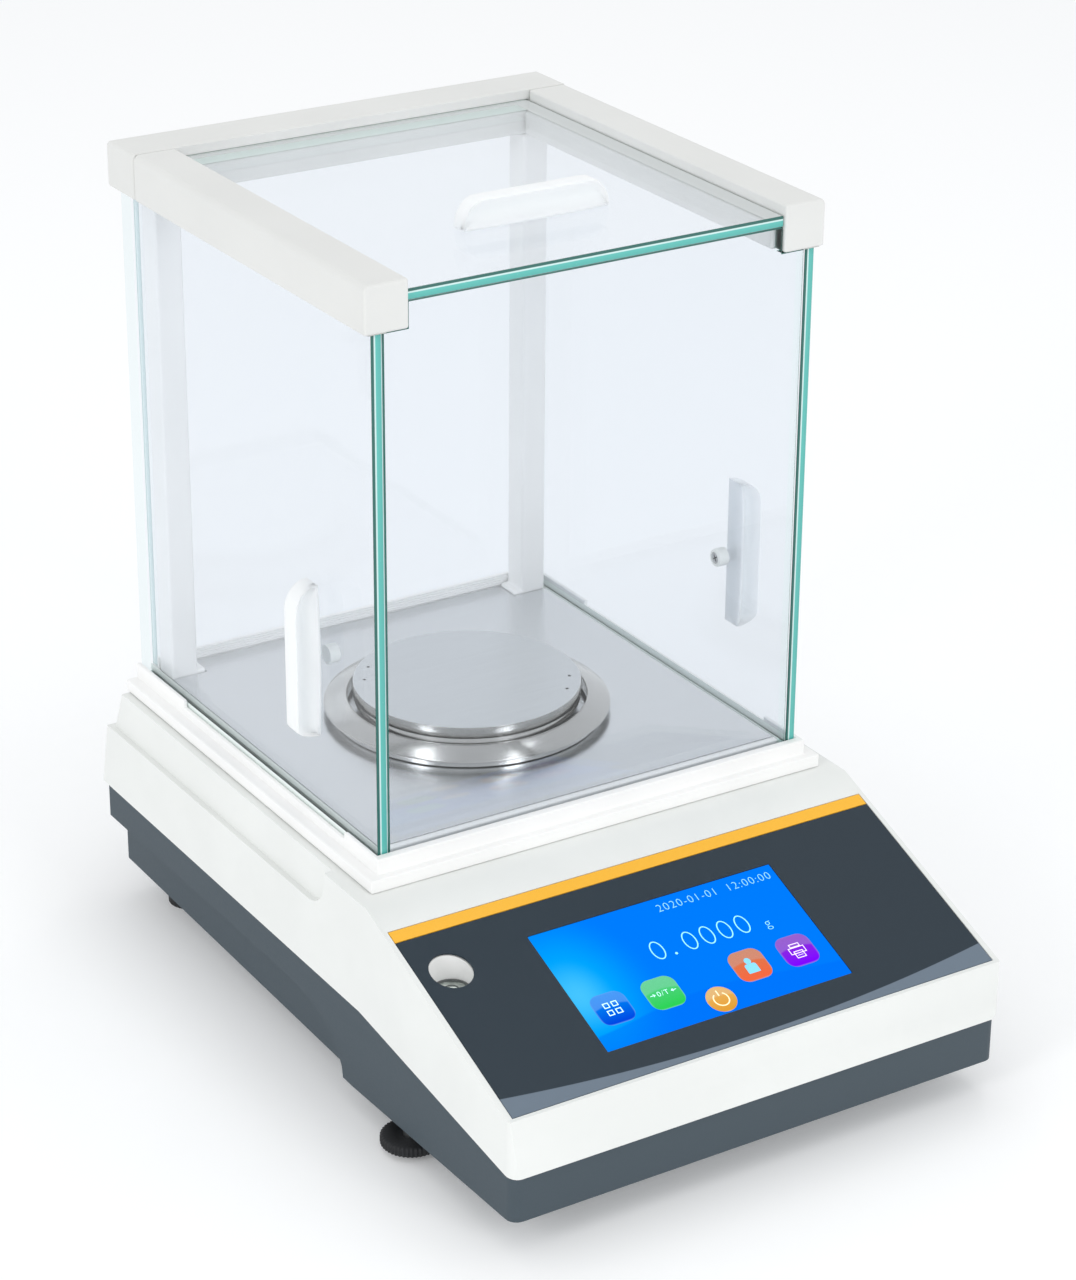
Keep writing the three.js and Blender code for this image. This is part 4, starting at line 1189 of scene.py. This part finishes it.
@dataclass
class Handle:
    """A grip scooped on its front, with a thin flange left against the glass."""

    node: str
    body: str
    scoop: float = 0.32
    steps: int = 28

    def build(self) -> None:
        """Cross-sections along the length, each rounded and scooped by its own depth."""
        low, high = box_of(self.node)
        top = self.node.startswith("top")
        grid = self.top_grid(low, high) if top else self.side_grid(low, high)
        made = skin(f"{self.node}_grip", grid, caps=True, sharp=50.0)
        dress(made, self.body, MILKY, self.node)

    def reach(self, along: Array, start_round: float, end_round: float) -> Array:
        """Height of the grip's back along its length: 1 in the middle, falling as a quarter oval at each end.

        Args:
            along: 0 to 1 along the length.
            start_round: share of the length that the first end takes.
            end_round: share of the length that the last end takes.

        Returns:
            Height as a share of the depth.
        """
        first = np.clip(1 - along / start_round, 0, 1)
        last = np.clip(1 - (1 - along) / end_round, 0, 1)
        return np.sqrt(np.clip(1 - first**2, 0, 1)) * np.sqrt(np.clip(1 - last**2, 0, 1))

    def section(self, tall: Array, flange: Array) -> tuple[Array, Array]:
        """Section points for each station, going round from the front foot.

        The front is a hollow curve from the flange's lip up to the outer edge; the other sides
        are straight with rounded corners.

        Args:
            tall: height of the grip at each station, 0 to 1.
            flange: how far the flange stands forward of the hollow, 0 to 1.

        Returns:
            (depth share, height share) arrays of (stations, points), depth 0 at the front.
        """
        front = [(0.03, 0.0), (0.0, 0.03), (0.0, 0.10), (0.06, 0.14)]
        climb = np.linspace(0.05, 0.95, 9)
        hollow = np.stack([0.10 + self.scoop * np.sin(math.pi * climb) ** 0.8, 0.16 + 0.76 * climb], axis=1)
        lip = [(0.12, 0.95), (0.16, 0.985), (0.22, 1.0)]
        back = [(0.88, 1.0), (0.95, 0.985), (0.985, 0.94), (1.0, 0.88), (1.0, 0.05), (0.97, 0.0)]
        shape = np.concatenate([front, hollow, lip, back])
        ahead = np.ones((len(tall), 1))
        depth = shape[None, :, 0] * ahead
        height = shape[None, :, 1] * tall[:, None]
        lean = np.array([1.0] * 4 + [0.0] * (len(shape) - 4))
        depth = depth + lean * (1 - flange[:, None]) * 0.14
        return depth, height

    def stations(self, first: Pair, last: Pair) -> tuple[Array, Array, Array]:
        """Shares along the grip, packed at its ends, and the section's depth and height at each.

        Args:
            first: angle at which the packing starts, and the share that the first end's curve takes.
            last: the same for the last end.

        Returns:
            Shares along, depths and heights.
        """
        turn = np.linspace(first[0], math.pi - last[0], self.steps)
        along = np.concatenate([[0.0], 0.5 - 0.5 * np.cos(turn), [1.0]])
        tall = 0.06 + 0.94 * self.reach(along, first[1], last[1])
        return along, *self.section(tall, np.sin(along * math.pi).clip(0, 1) ** 0.7)

    def side_grid(self, low: Array, high: Array) -> Array:
        """Grid of a side door's grip, which stands out along x and runs down z."""
        along, depth, height = self.stations((0.18, 0.17), (0.1, 0.07))
        outwards = 1.0 if low[0] > 0 else -1.0
        foot = low[0] if outwards > 0 else high[0]
        x = foot + outwards * height * (high[0] - low[0])
        y = low[1] + depth * (high[1] - low[1])
        z = (high[2] - along * (high[2] - low[2]))[:, None] + 0 * x
        grid = np.stack([x, y, z], axis=-1)
        return grid[:, ::-1] if outwards > 0 else grid

    def top_grid(self, low: Array, high: Array) -> Array:
        """Grid of the top door's grip, which stands up along z and runs across x."""
        along, depth, height = self.stations((0.12, 0.13), (0.12, 0.13))
        x = (low[0] + along * (high[0] - low[0]))[:, None] + 0 * depth
        y = low[1] + depth * (high[1] - low[1])
        z = low[2] + height * (high[2] - low[2])
        return np.stack([x, y, z], axis=-1)[:, ::-1]


@dataclass
class Knob:
    """Inner boss of a side door, with a slotted screw in its end whose slots are drawn black as painted shade."""

    side: Side
    radius: float = 3.6 * MM

    def build(self) -> None:
        """A lying turned boss and a screw head let into it."""
        low, high = box_of(self.side.node("door_knob"))
        y, z = float(low[1] + high[1]) / 2, float(low[2] + high[2]) / 2
        inward = -self.side.value
        tip = float(low[0] if inward < 0 else high[0])
        pane = box_of(self.side.node("door_glass"))
        foot = float(pane[0 if inward < 0 else 1][0]) + inward * 0.3 * MM
        depth = abs(foot - tip)
        axes = Axes((foot, y, z), (0.0, float(inward), 0.0), (0.0, 0.0, 1.0))
        rings = [(0.0, 0.0), (0.0, depth - 0.7 * MM), (0.2 * MM, depth - 0.2 * MM), (0.7 * MM, depth)]
        rings += [(1.3 * MM, depth), (1.35 * MM, depth - 0.8 * MM), (3.3 * MM, depth - 0.8 * MM)]
        boss = prism(self.side.node("knob_boss"), oval(2 * self.radius, 2 * self.radius, 48), rings, axes)
        dress(boss, self.side.node("door"), WHITE, self.side.node("door_knob"))
        top = depth - 0.15 * MM
        head = [(0.0, depth - 0.75 * MM), (0.0, top - 0.25 * MM), (0.3 * MM, top)]
        screw = prism(self.side.node("knob_screw"), oval(4.3 * MM, 4.3 * MM, 32), head, axes)
        dress(screw, self.side.node("door"), SCREW)
        # Painted shade: the screw's cross slot is drawn as black lines on the head, not cut into it.
        for index, turn in enumerate((math.radians(35), math.radians(125))):
            way = np.array([math.cos(turn), math.sin(turn)]) * 1.45 * MM
            path = np.stack([-way, way])
            slot = stroke(self.side.node(f"knob_slot_{index}"), path, 0.5 * MM, axes, top, top + 0.03 * MM)
            dress(slot, self.side.node("door"), BLACK)


@dataclass
class Chamber:
    """Glass draft shield: plinth, floor, posts, rails, panes and the three sliding doors."""

    round_rail: float = 1.3 * MM
    round_plinth: float = 0.9 * MM
    round_post: float = 2.0 * MM
    round_floor: float = 0.2 * MM

    def build(self) -> None:
        """Frame first, then the glass, then what is held by hand."""
        round_off("plinth_frame", self.round_plinth, 3, INNER_PAINTED_LIGHT)
        # the rails take the darker copy of the white moulding, which is painted shade
        for node in ("left_top_rail", "right_top_rail", "rear_top_rail"):
            round_off(node, self.round_rail, 4, RAIL_PAINTED_SHADE)
        for side in Side:
            round_off(side.node("rear_post"), self.round_post, 4, INNER_PAINTED_LIGHT)
        round_off("floor_plate", self.round_floor, 2, PLATE)
        self.sill()
        FrontGlass().build()
        behind = float(box_of("rear_top_rail")[0][1])
        below = float(box_of("floor_plate")[1][2]) + 0.3 * MM
        Glass("rear_glass", "base", 1, 1, pale=True).build()
        # Painted light: the top pane's edges glow pale from inside, and its strip behind the rear rail glows, in
        # place of the shade under the rail.
        Glass("top_door_glass", "top_door", 2, 1, (1, behind, 1.0), glow=0.66).build()
        Glass("left_door_glass", "left_door", 0, -1, (2, below, -1.0)).build()
        Glass("right_door_glass", "right_door", 0, -1, (2, below, -1.0)).build()
        Handle("top_door_handle", "top_door").build()
        for side in Side:
            Handle(side.node("door_handle"), side.node("door")).build()
            Knob(side).build()

    def sill(self) -> None:
        """Rear sill: a bar whose front face carries fine level grooves.

        Height runs up the front with a groove of half a sine every 1.1 mm.
        """
        low, high = box_of("rear_sill")
        climb = np.linspace(0, 1, 60)
        groove = 0.25 * MM * np.clip(np.sin(climb * TAU * 4 - 1.2), 0, 1) ** 2
        front = np.stack([low[1] + groove, low[2] + climb * (high[2] - low[2])], axis=1)
        section = np.concatenate([front, [(high[1], high[2]), (high[1], low[2])]])
        ends = np.array([low[0], high[0]])
        grid = np.stack([np.insert(section, 0, x, axis=1) for x in ends])[:, ::-1]
        dress(skin("rear_sill_bar", grid, caps=True), "base", INNER_PAINTED_LIGHT, "rear_sill")


@dataclass
class Weighing:
    """Pan, its carrier and the draft ring."""

    sheet: float = 1.0 * MM
    skirt: float = 4.9 * MM
    lip_inset: float = 0.6 * MM
    dimple_circle: float = 40.4 * MM
    ring_width: float = 9.3 * MM
    edge_rise: float = 3.3 * MM

    def build(self) -> None:
        """Turned shapes on one axis."""
        low, high = box_of("weighing_pan")
        self.centre = pair((low + high) / 2)
        self.pan(float(high[0] - low[0]) / 2, float(low[2]), float(high[2]))
        self.ring()
        repaint(["pan_carrier"], Polished(self.centre))

    def pan(self, radius: float, foot: float, top: float) -> None:
        """A flat brushed top, a polished skirt and a flared lip under it, one sheet thick.

        Args:
            radius: outside of the skirt.
            foot: underside of the lip.
            top: face that the load stands on.
        """
        edge, lip = 0.35 * MM, radius - self.lip_inset
        hem = top - self.skirt
        quarter = np.linspace(0, math.pi / 2, 5)
        corner = radius - edge
        sine, cosine = edge * np.sin(quarter), edge * np.cos(quarter)
        low_edge = np.stack([corner + sine, hem + edge - cosine], axis=1)
        high_edge = np.stack([corner + cosine, top - edge + sine], axis=1)
        soft = 0.2 * MM
        under = [(0.0, top - self.sheet), (lip - self.sheet, top - self.sheet)]
        rim = [(lip - self.sheet, foot + soft), (lip - self.sheet + soft, foot), (lip, foot)]
        wall = [(lip + 2 * soft, foot + soft), (lip - 2 * soft, hem)]
        flat = [(corner - edge, top), (radius * 0.6, top), (radius * 0.2, top), (0.0, top)]
        profile = np.concatenate([under, rim, wall, low_edge, high_edge, flat])
        made = turned("weighing_pan_dish", profile, self.centre, 192, sharp=30.0)
        made.data.materials.append(PAN_TOP.material())
        # Painted shade: the skirt's polished steel is a darker copy, standing in for the dark surroundings it
        # reflects.
        made.data.materials.append(Polished(self.centre, (0.43, 0.425, 0.41), 0.13).material())
        centres = np.empty(len(made.data.polygons) * 3)
        made.data.polygons.foreach_get("center", centres)
        below = centres.reshape(-1, 3)[:, 2] < top - 0.3 * edge
        made.data.polygons.foreach_set("material_index", below.astype(np.int32))
        dress(made, "pan", Polished(self.centre), "weighing_pan")
        self.dimples(top)

    def dimples(self, top: float) -> None:
        """Weld marks of the carrier: two on each side, on one circle."""
        for index, degrees in enumerate((134.6, 151.4, 314.6, 331.4)):
            turn = math.radians(degrees)
            x = self.centre[0] + self.dimple_circle * math.cos(turn)
            y = self.centre[1] + self.dimple_circle * math.sin(turn)
            rings = [(0.0, 0.0), (0.0, 0.01 * MM), (0.1 * MM, 0.02 * MM)]
            spot = oval(1.5 * MM, 1.5 * MM, 20, (x, y))
            dot = prism(f"pan_dimple_{index}", spot, rings, Axes((0.0, 0.0, top - 0.02 * MM)))
            dress(dot, "pan", DIMPLE)

    def ring(self) -> None:
        """A shallow polished cone with a hemmed outer edge, standing on a foot just inside it."""
        low, high = box_of("draft_ring")
        outer = float(high[0] - low[0]) / 2
        inner = outer - self.ring_width
        foot, top = float(low[2]), float(high[2])
        edge = foot + self.edge_rise
        soft = 0.2 * MM
        climb = np.linspace(0, 1, 14)
        flank_r = outer - soft - climb * (outer - inner - 0.9 * MM)
        flank_z = edge + climb * (top - edge - 0.25 * MM) + 0.15 * MM * np.sin(climb * math.pi)
        turn = np.linspace(math.radians(50), math.pi, 6)
        bead = 0.5 * MM
        roll = np.stack([inner + bead * (1 + np.cos(turn)), top - bead + bead * np.sin(turn)], axis=1)
        base = outer - 2.4 * MM
        within = inner + 0.9 * MM
        wall = [(base - 0.8 * MM, foot), (base - soft, foot), (base, foot + soft), (base, edge - 0.6 * MM)]
        hem = [(outer - soft, edge - 0.6 * MM), (outer, edge - 0.45 * MM), (outer, edge - 0.15 * MM)]
        lip = [(inner, foot + 1.8 * MM), (within, foot + 1.8 * MM), (within, top - 1.4 * MM)]
        under = [(base - 0.8 * MM, edge - 0.3 * MM)]
        profile = np.concatenate([wall, hem, np.stack([flank_r, flank_z], axis=1), roll, lip, under])
        made = turned("draft_ring_cone", profile, self.centre, 192, closed=True, sharp=30.0)
        dress(made, "ring", Polished(self.centre, (0.53, 0.525, 0.51), 0.13), "draft_ring")


@dataclass
class Level:
    """Bubble level: a white well under the console and a round vial at its foot."""

    radius: float = 8.2 * MM
    slope: float = SLOPE

    def build(self) -> None:
        """Well, vial, its rim painted grey as shade, the target ring and the bubble, which glows as painted
        light.
        """
        low, high = box_of("level_well")
        self.centre = pair((low + high) / 2)
        vial_low, vial_high = box_of("level_vial")
        self.top = float(vial_high[2])
        self.well(float(low[2]))
        self.vial(float(vial_low[2]))

    def well(self, foot: float) -> None:
        """Rings up the outside and down the inside; the mouth follows the console's slope."""
        outer, throat, floor = self.radius + 1.1 * MM, self.radius - 0.9 * MM, self.top - 5.0 * MM
        turn = np.arange(96) * TAU / 96
        mouth = self.mouth(self.centre[1] + self.radius * np.sin(turn))
        brim = mouth - 0.1 * MM
        inside = [(0.0, 1.0), (0.15 * MM, 0.6), (0.4 * MM, 0.2), (0.9 * MM, 0.0)]
        rings = [(0.0, foot), (outer, foot), (outer, mouth - 0.4 * MM), (outer - 0.3 * MM, brim)]
        rings += [(self.radius - drawn, self.top + share * (brim - self.top)) for drawn, share in inside]
        rings += [(throat, floor), (0.0, floor)]
        rows = [circle(self.centre, radius, turn, height) for radius, height in rings]
        made = merged(skin("level_well_cup", np.stack(rows)))
        dress(made, "base", INNER_PAINTED_LIGHT, "level_well")

    def mouth(self, y: Array) -> Array:
        """Height of the overlay's underside at y: a plane through the overlay's highest edge."""
        _, high = box_of("console_overlay")
        rear = high[1] - 0.8 * MM * math.sin(self.slope)
        return high[2] - (rear - y) * math.tan(self.slope) - 1.25 * MM / math.cos(self.slope)

    def vial(self, foot: float) -> None:
        """A domed vial of grey-green liquid in a rim whose grey is painted shade, with a ring mark and a faintly
        glowing bubble that is painted light.
        """
        radius, rim_radius, seat, top = 6.6 * MM, 7.2 * MM, foot + 3.5 * MM, self.top
        climb = np.linspace(0, math.pi / 2, 12)
        dome = np.stack([radius * np.cos(climb), top - 1.2 * MM + 0.7 * MM * np.sin(climb)], axis=1)
        profile = np.concatenate([[(0.0, seat), (radius, seat)], dome])
        dress(turned("level_liquid", profile, self.centre, 64), "base", Liquid(), "level_vial")
        outside = [(radius, seat), (rim_radius, seat), (rim_radius, top - 0.6 * MM)]
        over = [(7.0 * MM, top - 0.3 * MM), (radius + 0.1 * MM, top - 0.3 * MM), (radius, top - 0.9 * MM)]
        rim = turned("level_rim", np.array(outside + over), self.centre, 64, closed=True)
        dress(rim, "base", VIAL_RIM)
        target = oval(5.2 * MM, 5.2 * MM, 40, self.centre)
        mark = stroke("level_mark", target, 0.25 * MM, FLOOR, top - 0.42 * MM, top - 0.36 * MM, True)
        dress(mark, "base", BLACK)
        # Painted light: the bubble's finish glows faintly.
        bow = np.linspace(-math.pi / 2, math.pi / 2, 10)
        drop = np.stack([1.9 * MM * np.cos(bow), top - 0.62 * MM + 0.3 * MM * np.sin(bow)], axis=1)
        spot = (self.centre[0] + 0.5 * MM, self.centre[1] - 0.3 * MM)
        dress(turned("level_bubble", drop, spot, 32), "base", BUBBLE)


@dataclass(frozen=True)
class Liquid(Finish):
    """Grey-green spirit seen through glass."""

    colour: Colour = (0.2, 0.24, 0.22)

    def build(self, graph: Graph) -> bpy.types.Material:
        """Slow swirls under a clear coat."""
        swirl = graph.noise(320.0, 3.0)
        return graph.feed(
            Base_Color=graph.mix(swirl.step(0.35, 0.7), self.colour, (0.5, 0.55, 0.5)),
            Roughness=0.08 + 0.05 * swirl,
            Coat_Weight=1.0,
        )


@dataclass
class Foot:
    """Levelling foot: a knurled wheel on its stud, over a rubber pad."""

    side: Side
    teeth: int = 44

    def build(self) -> None:
        """The wheel's rim is a raised cosine of the angle; its faces dip towards the middle."""
        node = self.side.node("foot_wheel")
        low, high = box_of(node)
        centre = pair((low + high) / 2)
        radius, tall = float(high[0] - low[0]) / 2, float(high[2] - low[2])
        steps = self.teeth * 6
        turn = np.arange(steps) * TAU / steps
        ripple = radius - 0.5 * MM * (0.5 + 0.5 * np.cos(turn * self.teeth)) ** 0.7
        bore, flat, slant, dip = 3.3 * MM, radius - 1.2 * MM, ripple - 0.3 * MM, tall - 0.4 * MM
        below = [(bore, 0.0), (flat, 0.0), (slant, 0.25 * MM), (ripple, 0.6 * MM)]
        above = [(ripple, tall - 0.6 * MM), (slant, tall - 0.25 * MM), (flat, tall), (radius * 0.55, tall)]
        rows = below + above + [(radius * 0.5, dip), (bore, dip)]
        grid = np.stack([circle(centre, reach, turn, low[2] + height) for reach, height in rows])
        made = skin(f"{node}_knurled", grid, wrap_rows=True)
        dress(made, self.side.node("thumbwheel"), BLACK, node)
        repaint([self.side.node("foot_pad")], BLACK)
        repaint([self.side.node("foot_stud")], ZINC)


# ---- Studio ----------------------------------------------------------------------------------


@dataclass
class Studio:
    """Camera, pale floor and soft lights."""

    place: Triple = (-0.6452, -1.03075, 0.7075)
    azimuth: float = math.radians(32.198)
    elevation: float = math.radians(24.700)
    roll: float = math.radians(0.442)
    lens: float = 99.256
    shift: Pair = (-0.0018, 0.0016)
    horizon: float = 1.12
    zenith: float = 0.72
    strip: float = 3.4
    box: float = 6.0

    def build(self) -> None:
        """Sets the stage."""
        self.camera()
        self.floor()
        self.lights()

    def camera(self) -> None:
        """A long lens from the front left, looking down."""
        data = bpy.data.cameras.new("camera")
        data.lens, data.sensor_width, data.clip_end = self.lens, 36.0, 50.0
        data.shift_x, data.shift_y = self.shift
        rig = bpy.data.objects.new("camera", data)
        az, el = self.azimuth, self.elevation
        ahead = Vector((math.sin(az) * math.cos(el), math.cos(az) * math.cos(el), -math.sin(el)))
        right = Vector((math.cos(az), -math.sin(az), 0.0))
        up = right.cross(ahead)
        side = right * math.cos(self.roll) + up * math.sin(self.roll)
        top = up * math.cos(self.roll) - right * math.sin(self.roll)
        turn = Matrix((side, top, -ahead)).transposed().to_4x4()
        rig.matrix_world = Matrix.Translation(self.place) @ turn
        bpy.context.scene.collection.objects.link(rig)
        bpy.context.scene.camera = rig

    def floor(self) -> None:
        """A large pale sweep."""
        half = 6.0
        plan = half * np.array([(-1.0, -1.0), (1.0, -1.0), (1.0, 1.0), (-1.0, 1.0)])
        made = mesh_object("floor", FLOOR.lift(plan, 0.0), [(0, 1, 2, 3)])
        made.data.materials.append(Print((0.88, 0.885, 0.89), 0.17, 0.7).material())

    def surround(self) -> None:
        """A white tent, brighter low down: its strength falls in a line from the horizon to straight up."""
        world = bpy.data.worlds.new("surround")
        world.use_nodes = True
        tree = world.node_tree
        light = tree.nodes["Background"]
        light.inputs["Color"].default_value = (0.98, 0.99, 1.0, 1.0)
        point = tree.nodes.new("ShaderNodeTexCoord")
        parts = tree.nodes.new("ShaderNodeSeparateXYZ")
        fall = tree.nodes.new("ShaderNodeMapRange")
        fall.inputs["To Min"].default_value, fall.inputs["To Max"].default_value = self.horizon, self.zenith
        tree.links.new(point.outputs["Generated"], parts.inputs[0])
        tree.links.new(parts.outputs["Z"], fall.inputs["Value"])
        tree.links.new(fall.outputs[0], light.inputs["Strength"])
        bpy.context.scene.world = world
        bpy.context.scene.view_settings.view_transform = "Standard"

    def lights(self) -> None:
        """Two strips overhead, along the view, and two soft boxes in front, to the left and right of it."""
        self.surround()
        ahead = Vector((math.sin(self.azimuth), math.cos(self.azimuth), 0.0))
        aside = Vector((math.cos(self.azimuth), -math.sin(self.azimuth), 0.0))
        up = Vector((0.0, 0.0, 1.0))
        apart, raised = math.radians(40), math.radians(28)
        for name, side in (("left", -1.0), ("right", 1.0)):
            over = 0.316 * ahead + side * 0.215 * aside + 0.923 * up
            self.lamp(f"strip_{name}", over * 1.8, ahead, (0.15, 0.85), self.strip)
            facing = math.cos(apart) * -ahead + side * math.sin(apart) * aside
            low = math.cos(raised) * facing + math.sin(raised) * up
            self.lamp(f"box_{name}", low * 2.2, up, (0.5, 0.7), self.box)

    def lamp(self, name: str, place: Vector, upright: Vector, size: Pair, strength: float) -> None:
        """A soft box aimed at the balance.

        Args:
            name: name of the lamp.
            place: where it stands, measured from the middle of the balance.
            upright: which way its height runs.
            size: width and height.
            strength: radiance of its face; its power is that times pi and its area.
        """
        data = bpy.data.lights.new(name, "AREA")
        data.shape = "RECTANGLE"
        data.size, data.size_y = size
        data.energy = strength * math.pi * size[0] * size[1]
        rig = bpy.data.objects.new(name, data)
        back = place.normalized()
        right = upright.cross(back).normalized()
        turn = Matrix((right, back.cross(right), back)).transposed().to_4x4()
        rig.matrix_world = Matrix.Translation(place + Vector((0.0, 0.0, 0.12))) @ turn
        bpy.context.scene.collection.objects.link(rig)


def main() -> None:
    """Builds every sub-assembly in order."""
    logging.basicConfig(level=logging.INFO, format="%(message)s")
    Base().build()
    Screen().build()
    Level().build()
    Chamber().build()
    Weighing().build()
    for side in Side:
        Foot(side).build()
    Studio().build()


if __name__ == "__main__":
    main()
